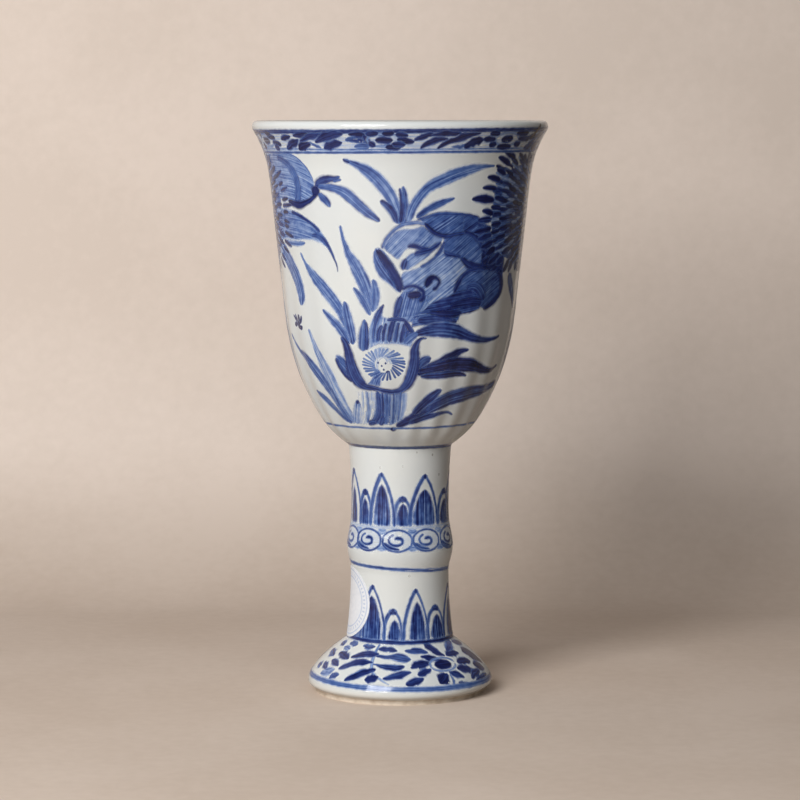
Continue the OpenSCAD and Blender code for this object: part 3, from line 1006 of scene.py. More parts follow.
# %% The curled lotus leaf
lobes = [
    (0.58, 36, ((19.5, 137.5), (21, 141), (25, 143), (33, 142.6), (40, 140.6), (47, 136), (52, 134),
                (57.5, 130)),
     ((19.5, 132), (19, 127), (22, 120.5), (30, 120.4), (38, 119.5), (45, 117), (51, 118),
      (57.5, 123.5))),
    (0.45, 60, ((-1, 113), (0, 117), (1.5, 120.5), (4, 122.5)),
     ((10, 112), (13, 116), (17, 119), (19, 121.5))),
    (0.58, 10, ((5, 111.5), (12, 112.2), (20, 112.6), (30, 112.8)),
     ((6.5, 115), (14, 116), (22, 115.6), (31, 115))),
    (0.40, 44, ((-7.5, 133.5), (-5.5, 136), (-2, 138.3), (2, 139.1), (6, 139.3), (10, 139.9), (15, 138),
                (20, 136.8)),
     ((-1.2, 130.5), (0.5, 132.3), (2.5, 133.8), (5, 134.6), (8, 134.3), (12, 133.4), (16, 134.3),
      (19.5, 136.2))),
    (0.42, 40, ((1.5, 128), (2.5, 130.5), (5, 132.2), (8, 132.8), (12, 133), (16, 134), (19, 135.8)),
     ((2.5, 127.6), (6, 129), (9, 130.2), (13, 131.8), (16, 133.4), (18.5, 135.4))),
    (0.36, 38, ((0.5, 124), (1, 126.2), (6, 127.6), (10, 128.6), (14, 130), (17, 131.8), (19, 133.4),
                (26, 131.8), (32, 129.5)),
     ((1, 121), (6, 121), (12, 119.5), (15, 117.5), (17, 118.3), (21, 119.2), (25, 120), (29, 124.5),
      (33.5, 127.5))),
    (0.60, 32, ((8, 142.3), (12, 142.6), (16, 143.8), (20, 144), (25, 143.7), (29.5, 143.2)),
     ((11, 140.3), (14, 139), (17, 137.7), (21, 137), (24, 137.4), (29.5, 138.2))),
    (0.72, 32, ((29, 143.2), (33, 143), (37, 142.3), (40, 141), (43, 139), (46, 136)),
     ((29, 138.2), (33, 138), (36, 136.8), (38.5, 135), (41, 133), (46, 131.5))),
    (0.62, 38, ((20, 132.8), (21, 135.5), (24, 137.2), (28, 138), (33, 137.8), (37, 136.3), (40, 133.5),
                (44, 132)),
     ((20.5, 131.8), (24, 131.5), (27, 131.3), (30, 130.5), (33, 128.8), (36, 127.8), (40, 128.3),
      (44, 128))),
    (0.84, 30, ((40, 132), (44, 133), (48, 134.2), (52, 133.8), (56, 131.5)),
     ((40, 128), (44, 127), (49, 126.3), (53, 126), (57, 127))),
    (0.62, 30, ((27.5, 122), (30, 125), (33, 126.8), (37, 127.5), (41, 127.4), (47, 126.6), (52, 126),
                (56.5, 124.5)),
     ((26.5, 120.5), (30, 120), (34, 120), (38, 119), (41.5, 117), (45, 116.3), (50, 117.3),
      (56.5, 121.5))),
    (0.74, 8, ((12, 116.6), (18, 118.8), (24, 120), (30, 121.4), (35, 121.4), (39, 120.2), (42.5, 118)),
     ((10, 115.6), (16, 115), (22, 114.2), (28, 114.2), (31, 114.8), (36, 115.2), (42.5, 116.5))),
    (0.52, 76, ((-2.8, 113.5), (-1.6, 117), (0, 120), (2, 121.8)),
     ((8, 114.6), (10, 117), (12, 119), (14, 120.5))),
    (0.62, None, ((-11.5, 134), (-12, 131), (-11, 128), (-8, 125.3), (-4, 123.5), (-1.5, 121.8),
                  (0, 121)),
     ((-11.3, 134.2), (-9, 133.6), (-6, 131.8), (-3, 129), (-0.5, 126), (0.6, 124), (0.5, 121.3))),
]
folds = [
    (0.74, (37, 141.2, 1.0), (40, 139.4, 2.4), (43, 136.4, 2.8), (45, 133, 1.6)),
    (0.84, (43, 128, 1.4), (48, 129.6, 3.0), (53, 130.6, 3.0), (56, 129.4, 1.4)),
    (0.84, (44.5, 130.6, 0.5), (47, 133.2, 0.7), (51, 134.2, 0.8), (54.6, 132.4, 0.7), (56, 129.4, 0.7),
     (54, 126.6, 0.5)),
    (0.70, (33, 122, 0.8), (38, 122.6, 2.0), (42, 120.6, 2.4), (44, 118.4, 1.2)),
    (0.66, (7, 141.8, 0.4), (12, 143, 0.5), (17, 143.7, 0.5), (24, 143.7, 0.5), (32, 143.2, 0.5),
     (38, 142.2, 0.5)),
    (0.55, (-8.2, 133.6, 0.5), (-6.5, 136.3, 0.6), (-3, 138.9, 0.6), (0, 140.3, 0.6), (4, 141, 0.6),
     (8, 141.2, 0.6), (11.5, 140.6, 0.7)),
    (0.82, (10.5, 141.4, 0.4), (12.4, 140, 0.8), (15, 138.6, 0.9), (18, 137.7, 0.9), (21, 137.4, 0.8),
     (26, 137.9, 0.5), (31, 138.2, 0.4)),
    (0.80, (3, 134.2, 0.6), (6, 134.6, 1.0), (9, 134, 1.0), (13, 133.3, 0.6)),
    (0.78, (6, 132.2, 0.8), (10, 132.9, 1.3), (14, 133.6, 1.1), (17.5, 135, 0.9), (19, 136, 0.5)),
    (0.72, (1.3, 127.4, 0.8), (1.6, 129, 1.2), (3, 131.2, 0.7)),
    (0.66, (9, 128.6, 0.4), (13, 129.8, 0.6), (16.5, 131.6, 0.7), (19, 133.8, 0.8), (20.2, 136, 0.5)),
    (0.78, (20, 133.4, 0.5), (21.6, 132.4, 1.0), (24.4, 132, 0.8), (29, 131.4, 0.4)),
    (0.80, (30, 138.2, 0.5), (34.5, 137.6, 0.8), (38, 136, 1.0), (41, 133.6, 1.0), (43, 131.4, 0.6)),
    (0.82, (29, 131.2, 0.6), (32, 129.6, 1.4), (36, 128.5, 1.7), (41, 128.2, 1.2), (45, 128.4, 0.6)),
    (0.78, (26, 120.8, 0.6), (27.6, 123, 1.0), (30, 125.4, 0.9), (33.4, 127, 0.7), (38, 127.6, 0.6),
     (44, 127.1, 0.5)),
    (0.88, (52, 126.2, 0.8), (55.5, 125, 1.2), (57, 122.5, 1.3), (55, 119.6, 1.1), (50, 117.2, 1.0),
     (44, 116, 0.8)),
    (0.84, (24, 117.2, 0.6), (32, 117.9, 1.6), (39, 118.2, 1.8), (43, 117.8, 0.8)),
    (0.90, (14, 115.6, 0.6), (21, 115, 1.2), (28, 115, 1.3), (31.5, 115.3, 0.5)),
    (0.80, (1, 121.9, 0.5), (3, 122.9, 0.6), (6, 123.2, 0.6), (9, 122.6, 0.7), (11.2, 121, 0.7),
     (11, 119.8, 0.7), (8.5, 119, 0.6)),
    (0.92, (3.2, 120.2, 0.8), (7, 120.7, 1.7), (10.6, 120.8, 1.2)),
    (0.88, (12.6, 122.4, 0.7), (13, 124, 1.5), (14.8, 125.4, 1.3), (17, 125.4, 0.8), (18.6, 124.2, 0.6),
     (17.6, 122.9, 0.6), (15, 122.2, 0.6)),
    (0.88, (-10.8, 133.6, 0.6), (-7, 130.8, 1.6), (-3.2, 127, 1.6), (-0.4, 123.6, 1.6),
     (0.2, 121.2, 1.0)),
    (0.72, (-2.4, 113.6, 0.6), (-1.2, 117, 1.4), (0.6, 120.4, 0.8)),
]
print(len(lobes), "lobes and", len(folds), "folds")

# %% [markdown]
# Below it sits the lotus pod: a thick dark cup open at the top, a ring of radial dashes for the seeds,
# and short petals standing up behind it like a crown. Pale and dark streaks under it are its trunk,
# rising from the base line.

# %% The lotus pod
pod_washes = [
    (0.34, 84, ((-17, 104.6), (-12, 106.4), (-6, 106.8), (0, 106.6), (6, 105.6)),
     ((-16, 109), (-11, 114.2), (-6, 113.6), (1, 113.6), (7, 110))),
    (0.14, None, ((-14, 97.6), (-15.4, 100.6), (-13.4, 104), (-8.6, 105.4), (-3.6, 104), (-1.6, 100.4)),
     ((-11, 97.4), (-11.4, 100.4), (-10.4, 102), (-8.6, 102.6), (-6.8, 102), (-6, 100.4))),
    (0.12, None, ((-25, 92.5), (-27, 87), (-34, 82)), ((-14, 92.5), (-15, 87), (-20, 82))),
    (0.50, None, ((-14, 92.4), (-15, 87), (-18, 82)), ((-4, 92), (-4.6, 87), (-6, 82))),
    (0.30, None, ((-4.4, 92), (-5, 87), (-6.4, 82)), ((3.4, 92.6), (3, 87), (0, 83))),
    (0.58, None, ((-36, 102.4), (-33, 102.4), (-30.5, 101.5), (-29, 99.5), (-27.5, 97.5)),
     ((-36, 101.8), (-34.5, 99.3), (-32, 97), (-28, 95.5), (-25, 94.5))),
    (0.42, None, ((-16, 106), (-15, 110), (-13, 113.5), (-10.5, 116), (-7.5, 117.2)),
     ((-10, 106.5), (-10, 110), (-9, 113.5), (-8.5, 115.5), (-7.4, 117))),
    (0.32, None, ((-10, 106.6), (-10, 109), (-8.5, 111.5), (-6, 113.3)),
     ((-5, 106.8), (-5, 109), (-4.5, 111.5), (-4, 113.3))),
    (0.38, None, ((-3.6, 106.6), (-3.4, 109), (-2, 111.5), (0, 113)),
     ((0.6, 106.8), (1, 109), (2, 111.5), (2.6, 113))),
    (0.60, None, ((1, 106.8), (1.6, 109), (2.6, 111.5), (3, 113.2)),
     ((5, 106.6), (6, 108.4), (6.4, 109.6), (4.4, 112))),
    (0.62, None, ((-13.5, 99.3), (-14.5, 97), (-17, 95), (-19, 94)),
     ((-11.8, 99.3), (-10.8, 97), (-11.4, 95), (-12, 93.6))),
]
pod_strokes = [
    (0.56, (-19.2, 104, 1.6), (-18.5, 108.4, 2.1), (-17.4, 113.6, 0.3)),
    (0.78, (-17.4, 104.4, 0.5), (-16.6, 108, 0.7), (-16.8, 112.8, 0.5)),
    (0.80, (-12.6, 112.4, 0.3), (-10.2, 115.4, 1.1), (-7.6, 118, 0.1)),
    (0.75, (-10.8, 107, 0.6), (-10.4, 109.6, 0.8), (-8.6, 112, 0.5)),
    (0.78, (-5.4, 106.8, 0.7), (-4.6, 110, 1.1), (-3.2, 113, 0.9), (-2.4, 114.2, 0.4)),
    (0.75, (0.4, 106.6, 0.5), (1.2, 109.4, 0.8), (2.4, 112.6, 0.5)),
    (0.70, (-2.4, 106.8, 0.4), (-1.8, 109.4, 0.7), (-0.6, 112.8, 0.4)),
    (0.72, (3.2, 106.8, 0.4), (4, 108.6, 0.7), (4.2, 111, 0.4)),
    (0.66, (-8.4, 107, 0.4), (-8, 109.6, 0.6), (-6.6, 112.6, 0.4)),
    (0.66, (-13.4, 107.6, 0.4), (-12.8, 110.6, 0.6), (-10.6, 114, 0.4)),
    (0.82, (2.2, 113.6, 0.5), (4.4, 111.2, 0.9), (6.8, 109.4, 0.6)),
    (0.74, (-6.5, 113.2, 0.5), (-2, 113.7, 0.8), (3, 113.1, 0.5)),
    (0.62, (2, 106.4, 0.8), (5, 108.2, 1.5), (9, 109.6, 1.0)),
    (0.80, (-35.8, 102, 0.6), (-34, 99, 0.8), (-31, 96.6, 0.9), (-27, 95.2, 0.8)),
    (0.76, (-31.5, 107.9, 0.6), (-29, 106.8, 1.4), (-27.6, 104.5, 2.0), (-27, 101, 2.6), (-26, 98, 3.2),
     (-24, 95.5, 2.9), (-20.5, 93.8, 1.8), (-15, 93.3, 1.2), (-9, 92.6, 1.1), (-4, 92.3, 1.2),
     (1, 93, 1.6), (4.6, 95, 2.3), (6.8, 98.5, 2.5), (7.6, 102, 2.2), (7.5, 105, 1.9), (9, 107.2, 1.0),
     (13.6, 107.9, 0.3)),
    (0.66, (-13.2, 92.6, 0.9), (-13.2, 89, 1.1), (-14, 86, 1.4), (-17, 83.6, 1.3), (-23, 82.3, 0.7)),
    (0.66, (-10.4, 92.2, 0.3), (-10.8, 87, 0.5), (-12, 82.6, 0.4)),
    (0.60, (-7.6, 92.2, 0.3), (-8.2, 87, 0.5), (-9.4, 82.6, 0.4)),
    (0.58, (-3.4, 92.2, 0.3), (-4, 87, 0.4), (-5.2, 82.4, 0.3)),
    (0.54, (0.4, 92.4, 0.3), (-0.2, 88, 0.4), (-1.6, 83.4, 0.3)),
    (0.44, (-19.6, 92.4, 0.3), (-20.6, 87, 0.4), (-23.4, 82.6, 0.3)),
    (0.72, (-22.6, 82.2, 0.5), (-19.6, 82.9, 1.1), (-17.4, 82.6, 0.4)),
    (0.70, (-15, 82, 0.5), (-12.6, 83.2, 1.1), (-11.4, 85, 0.4)),
    (0.85, (-7.4, 80.7, 0.6), (-5, 80.8, 1.0), (-2.4, 81.2, 0.5)),
    (0.35, (-33, 82, 1.0), (-29.5, 86, 1.6), (-26, 89.3, 0.8)),
    (0.70, (-28, 88.2, 0.4), (-26.8, 89, 0.8), (-25.4, 89.4, 0.4)),
]
print(len(pod_washes), "pod washes and", len(pod_strokes), "pod strokes")

# %% The seeds in the pod
seed_centre = (-8.7, 100.4)
seed_inner = (2.5, 2.3)
seed_outer = (6.5, 4.9)
seed_count = 30
seed_shift = 0.25
seed_bend = 0.4
seed_tone, seed_fade, seed_light = 0.52, 0.14, 0.7
seed_brush = (0.25, 0.5)
seed_cell = 0.5
seed_dots = ((-9.6, 100), (-7.5, 100.8), (-11.4, 100.9), (-8.6, 98.9), (-7, 98.2), (-6.4, 98.4))
dot_tone, dot_streak = 0.85, 0.1
dot_half = 0.6
dot_brush = (0.3, 0.45)
dot_cell = 0.3
fine_bleed = 0.4


def bud(angle, height, reach, brush):
    """Points of a short level dab that swells in its middle."""
    return ((angle - reach, height, brush[0]), (angle, height, brush[1]), (angle + reach, height, brush[0]))


def seed_ring(turn_round):
    """The radial dashes in the pod, paler to the upper left, and the dots inside them."""
    wide = skin_scale(seed_centre[1])[0]
    made = []
    for i in range(seed_count):
        turn = math.tau * (i + painter.uniform(-seed_shift, seed_shift)) / seed_count
        dash = [(seed_centre[0] + turn_round + reach[0] * math.cos(way) / wide,
                 seed_centre[1] + reach[1] * math.sin(way), brush)
                for reach, way, brush in zip((seed_inner, seed_outer), (turn, turn - seed_bend), seed_brush)]
        tone = seed_tone - seed_fade * math.sin(turn - seed_light)
        made.append(stroke(tone, dash, line_streak, cell=seed_cell, soft=fine_bleed))
    for angle, height in seed_dots:
        dot = turned(bud(angle, height, dot_half, dot_brush), turn_round)
        made.append(stroke(dot_tone, dot, dot_streak, cell=dot_cell, soft=fine_bleed))
    return made


print(seed_count, "dashes and", len(seed_dots), "dots for seeds")

# %% [markdown]
# High on the left two petals are seen from the side: broad washes whose streaks spread from a dark
# knot, with thin sepals behind it. Below them hovers a small insect.

# %% Petals and insect
petal_washes = [
    (0.42, None, ((-39.3, 151.3), (-40.5, 153.4), (-43, 156), (-47, 158.7), (-52, 160.3), (-58, 160.7),
                  (-68, 160.6), (-82, 159.5)),
     ((-39.3, 149.6), (-42, 147.7), (-46, 146.8), (-50, 146.4), (-55, 146.8), (-62, 147.4), (-72, 148),
      (-82, 148.4))),
    (0.46, None, ((-80, 144.6), (-66, 144.4), (-57, 144), (-52, 143.2), (-47, 141.8), (-42, 140.3),
                  (-38.5, 138.5), (-35.5, 136), (-33, 133.5), (-31, 131), (-30.3, 129)),
     ((-80, 136), (-66, 136), (-55, 135.9), (-48, 136.2), (-42, 136), (-38, 135.2), (-35, 134),
      (-32.5, 132), (-30.8, 130.4), (-30.6, 128.6))),
]
petal_strokes = [
    (0.60, (-64, 159.2, 1.0), (-58, 158.3, 1.4), (-54, 156.5, 1.8), (-51.5, 154, 2.0), (-50.4, 151, 1.8),
     (-51, 148.4, 2.0), (-53, 146.6, 1.0)),
    (0.50, (-40.2, 152.8, 0.4), (-43, 156, 0.5), (-47, 158.7, 0.5), (-52, 160.3, 0.5),
     (-58, 160.6, 0.4)),
    (0.88, (-38.6, 149.6, 0.8), (-42, 147.6, 1.0), (-46, 146.5, 1.2), (-50, 145.9, 1.7),
     (-55, 146.3, 1.4), (-59, 147, 0.8)),
    (0.90, (-41, 148.8, 1.2), (-39.2, 150.2, 2.4), (-38, 151.6, 1.2)),
    (0.78, (-39.5, 151.3, 1.6), (-36, 152.8, 1.9), (-32, 153.5, 1.6), (-28, 153.8, 0.9),
     (-26, 154.4, 0.5)),
    (0.60, (-30, 152.8, 0.5), (-27, 153.2, 0.5), (-25.4, 153.4, 0.4)),
    (0.56, (-38, 151.2, 0.9), (-34, 151.2, 1.2), (-29, 150.8, 1.7), (-24, 149.5, 2.3), (-20, 147.3, 2.3),
     (-16, 145, 2.1), (-11, 142.6, 1.2), (-8.6, 141.6, 0.5)),
    (0.60, (-38, 149.4, 0.9), (-35, 147.8, 1.6), (-33, 146.5, 1.3), (-31.8, 145.4, 0.6)),
    (0.72, (-57, 143.9, 0.5), (-52, 143.1, 0.7), (-46, 141.5, 0.6), (-42, 140.2, 0.6),
     (-38.4, 138.2, 0.8)),
    (0.66, (-44, 137, 0.4), (-40, 137.2, 1.0), (-37, 136.2, 1.1), (-34, 133.7, 0.7), (-31.9, 131, 0.4),
     (-30.4, 128.6, 0.2), (-30.2, 126.8, 0.1)),
    (0.45, (-65, 135.2, 0.6), (-57, 134.7, 1.0), (-52, 134.7, 0.9), (-48.6, 135.1, 0.4)),
]
insect = [
    ((-62.5, 111.9, 0.5), (-61, 110.6, 0.7), (-60, 109.5, 0.5)),
    ((-67, 113.6, 0.2), (-65, 112.6, 0.3), (-62.8, 111.7, 0.4)),
    ((-64.7, 113.9, 0.2), (-63.6, 112.8, 0.35), (-62.4, 111.7, 0.4)),
    ((-61.2, 113.9, 0.3), (-60.4, 112.9, 0.5), (-61.2, 111.8, 0.4)),
    ((-57.2, 113.7, 0.2), (-57.8, 112.6, 0.35), (-60, 111.4, 0.4)),
    ((-66.6, 110.5, 0.3), (-64.6, 110.9, 0.5), (-62.8, 111.4, 0.3)),
    ((-57.2, 110.5, 0.3), (-59, 110, 0.5), (-60.6, 109.9, 0.4)),
]
print(len(petal_washes), "petals,", len(petal_strokes), "strokes on them and", len(insect), "for the insect")

# %% [markdown]
# All marks of the scene are now laid, washes first and dark strokes over them. The same scene goes on
# the back with a slightly different hand.

# %% The whole pond scene, front and back
covered_rim = 0.85
wash_streak = 0.3
leaf_gain = 0.78
leaf_streak = 0.3
leaf_pool = 0.18
right_gain = 0.9
right_depth = 0.06
insect_tone, insect_streak = 0.92, 0.1
insect_gain = 2.1
insect_bleed = 0.55
insect_cell = 0.3
back_turn, back_shake = 180, 0.3


def pond(turn, shake):
    """All films of the pond scene, turned round the cup and with its points shaken by hand."""
    films = []
    for tone, grain, *rails in pod_washes + petal_washes + lobes:
        rails = [turned(rail, turn, shake / 2) for rail in rails]
        rim = open_rim if grain is None else covered_rim
        films.append(wash(tone, *rails, wash_streak, grain, rim=rim))
    for leaves, depth, gain in ((tuft + left_leaves, 0, leaf_gain), (right_leaves, right_depth, right_gain)):
        for tone, *points in leaves:
            films.append(stroke(tone + depth, turned(points, turn, shake), leaf_streak, leaf_pool, gain))
    for tone, *points in folds:
        films.append(stroke(tone, turned(points, turn, shake), soft=bleed, rim=covered_rim))
    for tone, *points in petal_strokes + pod_strokes:
        films.append(stroke(tone, turned(points, turn, shake), rim=covered_rim))
    for points in insect:
        films.append(stroke(insect_tone, turned(points, turn, shake), insect_streak, gain=insect_gain,
                            cell=insect_cell, soft=insect_bleed))
    return films + seed_ring(turn)


lay("pond_front", pond(0, 0), painted)
lay("pond_back", pond(back_turn, back_shake), painted)

# %% [markdown]
# Two big flower heads face the sides, with their outer petals reaching into the front view. A head is a
# dark wash with rows of pale scales on it, a dark line above each, and dark teardrop dabs all round.
# The scales fan out towards the front. The outline is squarer than an ellipse, because the border
# above and the leaves below press on it. A stem with a few leaves carries each head.

# %% The shape of a flower head
head_right = (82, 143.5)
head_left = (256, 143.5)
head_reach = (30, 18)
head_square = 3
scale_length = 4.6
scale_fan = 0.6


def on_head(centre, turn, share):
    """A spot on a flower head: a direction and a share of its reach, as angle and height."""
    square = (abs(math.cos(turn)) ** head_square + abs(math.sin(turn)) ** head_square) ** (-1 / head_square)
    return (centre[0] + head_reach[0] * share * square * math.cos(turn) / skin_scale(centre[1])[0],
            centre[1] + head_reach[1] * share * square * math.sin(turn))


def head_scale(tone, centre, way, across, up, widths):
    """A short stroke on a flower head that points to the front and fans up or down."""
    wide = skin_scale(centre[1])[0]
    run = np.array([0, 0.5, 1]) * scale_length
    angle = centre[0] + way * (head_reach[0] * across + run - scale_length / 2) / wide
    height = centre[1] + head_reach[1] * up + run * up * scale_fan
    return stroke(tone, np.stack([angle, height, widths], axis=1), rim=covered_rim)


print("a flower head is", 2 * head_reach[0], "by", 2 * head_reach[1], "mm")

# %% Scales and dabs of a flower head
scale_step = (0.105, 0.135)
scale_limit = 0.84
scale_shake = 0.03
scale_ends = (0.4, 0.2)
pale_tone, pale_width = (0.25, 0.6), (0.6, 1.3)
dark_tone, dark_width = (0.8, 1.0), (0.6, 1.2)
dab_count = 48
dab_shake = 0.03
dab_reach = (0.95, 1.05)
dab_tone = (0.85, 1.0)
dab_ends = (0.6, 0.3)


def head_scales(centre, way):
    """Pale scales and then dark ones half a step above them, even columns before odd ones."""
    made = []
    for lift, tones, widths in ((0, pale_tone, pale_width), (scale_step[1] / 2, dark_tone, dark_width)):
        for first in (0, 1):
            columns = np.arange(-scale_limit + first * scale_step[0], scale_limit, 2 * scale_step[0])
            rows = np.arange(-scale_limit, scale_limit, scale_step[1]) + first * scale_step[1] / 2
            for column, row in [(column, row) for column in columns for row in rows]:
                across, up = np.array((column, row)) + painter.uniform(-scale_shake, scale_shake, 2)
                tone, width = painter.uniform(*tones), painter.uniform(*widths)
                if abs(column) ** head_square + abs(row) ** head_square < scale_limit ** head_square:
                    brush = (scale_ends[0], width, scale_ends[1])
                    made.append(head_scale(tone, centre, way, across, up + lift, brush))
    return made


def head_dabs(centre, root, width, kept_free):
    """Teardrop dabs all round a flower head, except where a place is kept free."""
    made = []
    for i in range(dab_count):
        turn = math.tau * i / dab_count + painter.uniform(-dab_shake, dab_shake)
        tip = painter.uniform(*dab_reach)
        spots = [on_head(centre, turn, share) for share in (root, (root + 1) / 2, tip)]
        tone = painter.uniform(*dab_tone)
        brush = (dab_ends[0] * width, width, dab_ends[1])
        if not kept_free(*spots[2]):
            made.append(stroke(tone, [(*spot, part) for spot, part in zip(spots, brush)]))
    return made


print(dab_count, "dabs round each head")

# %% The two flower heads
head_wash = 0.8
head_tone, head_streak, head_grain = 0.64, 0.3, 10
rail_steps = 12
front_tone, front_streak = 0.97, 0.1
front_ends = (0.8, 0.3)
front_dabs = (
    ((46, 147.2), (38, 147.8), (32.6, 147.7), 1.9),
    ((47, 150.4), (42, 150.9), (37.8, 150.9), 1.2),
    ((49, 152.8), (44, 153.7), (40, 154), 1.4),
    ((52, 154.6), (48, 155.6), (45, 156.2), 1.2),
    ((54, 157.2), (49, 158.9), (44.8, 159.7), 1.4),
    ((57, 159.2), (52, 160.4), (48, 161.2), 1.4),
    ((46, 143.2), (42, 144.1), (38.4, 144.4), 1.4),
)
head_stem = [
    (0.50, (93, 82, 1.4), (92.6, 92, 1.7), (91, 105, 1.6), (89, 118, 1.4), (88, 127, 1.2)),
    (0.60, (92.8, 88, 0.8), (97, 95, 2.6), (101, 101, 2.6), (104, 108, 0.5)),
    (0.66, (92.4, 92, 0.8), (89.4, 98, 2.4), (87.2, 104, 2.2), (86, 110, 0.4)),
    (0.55, (91.6, 100, 0.6), (95.6, 107, 2.4), (98.6, 113, 2.0), (100, 119, 0.4)),
    (0.62, (90.6, 107, 0.6), (88.4, 112, 1.8), (87.4, 117, 0.4)),
]
front_room = (57, 141.7)


def flower_head(centre, way, dab_root, dab_width, by_hand):
    """All films of one flower head. Dabs that are listed one by one take the room of some others."""
    rails = [[on_head(centre, -math.pi / 2 + side * k * math.pi / rail_steps, head_wash)
              for k in range(rail_steps + 1)] for side in (-1, 1)]
    made = [wash(head_tone, *rails, head_streak, head_grain, line=0)] + head_scales(centre, way)
    made += head_dabs(centre, dab_root, dab_width,
                      lambda angle, height: by_hand and angle < front_room[0] and height > front_room[1])
    for root, middle, tip, width in by_hand:
        dab = ((*root, front_ends[0]), (*middle, width), (*tip, front_ends[1]))
        made.append(stroke(front_tone, dab, front_streak))
    for tone, *points in head_stem:
        mirrored = [(-way * angle, height, width) for angle, height, width in points]
        made.append(stroke(tone, mirrored, leaf_streak, leaf_pool, leaf_gain))
    return made


right_films = flower_head(head_right, way=-1, dab_root=0.8, dab_width=1.6, by_hand=front_dabs)
lay("flower_head_right", right_films, painted)
left_films = flower_head(head_left, way=1, dab_root=0.84, dab_width=1.0, by_hand=())
lay("flower_head_left", left_films, painted)

# %% [markdown]
# The border under the lip lies between a thick line and two thin ones. Small flowers sit in it, with
# slanting leaf dabs between them that all lean the same way, as a quick hand makes them. The marks
# seen from the front are set one by one, and the back repeats them.

# %% Marks of the border
border_leaves = [
    (0.85, (-54, 164.6, 0.9), (-51, 165.3, 1.3), (-48, 165.6, 0.5)),
    (0.80, (-52.2, 162.2, 1.0), (-48, 163.4, 1.6), (-44.2, 164.6, 0.8)),
    (0.94, (-44.9, 162.3, 1.2), (-41.8, 162.9, 2.0), (-38.4, 163.7, 1.0)),
    (0.86, (-45.5, 165.8, 0.8), (-42, 165.9, 1.3), (-37.6, 166.3, 0.8)),
    (0.80, (-42.4, 164.4, 0.9), (-37, 165.4, 1.5), (-31, 166.5, 1.0)),
    (0.84, (-34.6, 164.1, 0.8), (-29.6, 165.4, 2.1), (-23.2, 166.3, 1.0)),
    (0.82, (-31.4, 162.2, 1.2), (-27.6, 163.2, 2.0), (-23.7, 163.9, 1.0)),
    (0.55, (-38, 164, 0.4), (-36, 163.1, 0.6), (-33.4, 162.5, 0.4)),
    (0.62, (-21, 164.5, 1.0), (-16.4, 164.8, 1.7), (-12, 163.6, 1.0)),
    (0.88, (-19.6, 166.3, 0.8), (-16.4, 166.2, 1.3), (-12.8, 165.8, 0.7)),
    (0.85, (-14.2, 165.7, 0.7), (-12.8, 164.6, 1.2), (-11.9, 163.1, 0.8)),
    (0.55, (-18, 162.6, 0.8), (-15.4, 162.9, 1.3), (-12.4, 162.7, 0.7)),
    (0.80, (5.8, 164.6, 0.8), (8.4, 165.6, 1.4), (12.6, 166.1, 0.7)),
    (0.84, (8.7, 162.5, 0.8), (12.4, 164.2, 1.4), (18, 164.8, 0.7)),
    (0.88, (12.8, 166, 0.7), (18, 166.4, 1.2), (24, 166.2, 0.7)),
    (0.86, (15.8, 162.5, 0.8), (20.6, 164.4, 1.4), (30.6, 166.2, 1.0)),
    (0.60, (21.2, 162.9, 0.6), (24.6, 162.7, 0.7), (28.4, 163.7, 0.5)),
    (0.90, (26.8, 162.6, 1.2), (30, 163.9, 2.0), (34.2, 164.5, 0.9)),
    (0.55, (-8, 163.1, 0.6), (-4, 162.9, 0.8), (0, 162.6, 0.6)),
    (0.70, (-10.4, 166.3, 0.8), (-7, 166.5, 1.0), (-3, 166.3, 0.7)),
]
border_flowers = [
    (-68, 164.2, ((-65.4, 165.6, -58.4, 165.2), (-62.6, 163.9, -55.6, 163.1), (-62, 162.6, -57.8, 161.9),
                  (-66, 166.3, -61, 166.4), (-74, 165.8, -71, 166.3), (-75, 163, -71, 162.2))),
    (-6.2, 164.6, ((-2, 166.2, 3.4, 165.9), (-1.4, 164.9, 5.8, 164.1), (-6, 162.6, 0.6, 162.5),
                   (-12.4, 164.2, -9.6, 162.7), (-13.5, 166.3, -8, 166.6), (-3.4, 163.6, 2.4, 163.3),
                   (-7, 166.4, -2, 166.6))),
    (47, 164.8, ((34, 164.9, 40.6, 164.8), (36.4, 166.5, 42, 166.3), (37.6, 163.4, 42, 163.2),
                 (42, 162.6, 51, 162.6), (52, 163.4, 57, 163.5), (53.4, 165, 62, 165),
                 (51, 166.5, 60, 166.4), (63, 165.4, 70, 165), (64, 163.4, 71, 163.2))),
]
print(len(border_leaves), "leaf dabs and", len(border_flowers), "flowers")

# %% The border under the lip
border_lines = ((167.05, 1.0, 0.82, 0.4), (162.1, 0.3, 0.5, 0.2), (161.1, 0.5, 0.64, 0.2))
border_bands = ((0.22, 161.1, 162.1, 0.12), (0.12, 162.1, 167, 0.16))
border_start = 150
border_gain = 1.14
border_depth = 0.06
border_shake = 0.12
flower_half = 4.6
bud_reach, bud_tone = 0.8 * flower_half, 0.94
bud_brush = (0.8, 1.9)
hoop_reach, hoop_tone, hoop_brush = (1.45 * flower_half, 1.85), 0.42, 0.4
hoop_points = 13
petal_tone = (0.86, 1.0)
petal_brush = (0.6, 1.3)
side_leaves, side_turns = border_leaves[:12], (114, 294)
around = list(range(0, 361, 12))


def band(tone, low, high, streak):
    """A pale wash all round the cup, between two heights."""
    return wash(tone, [(angle, low) for angle in around], [(angle, high) for angle in around], streak, line=0)


def hoop(angle, height, reach, brush, turns):
    """Points of a line round an oval."""
    return [(angle + reach[0] * math.cos(turn), height + reach[1] * math.sin(turn), brush) for turn in turns]


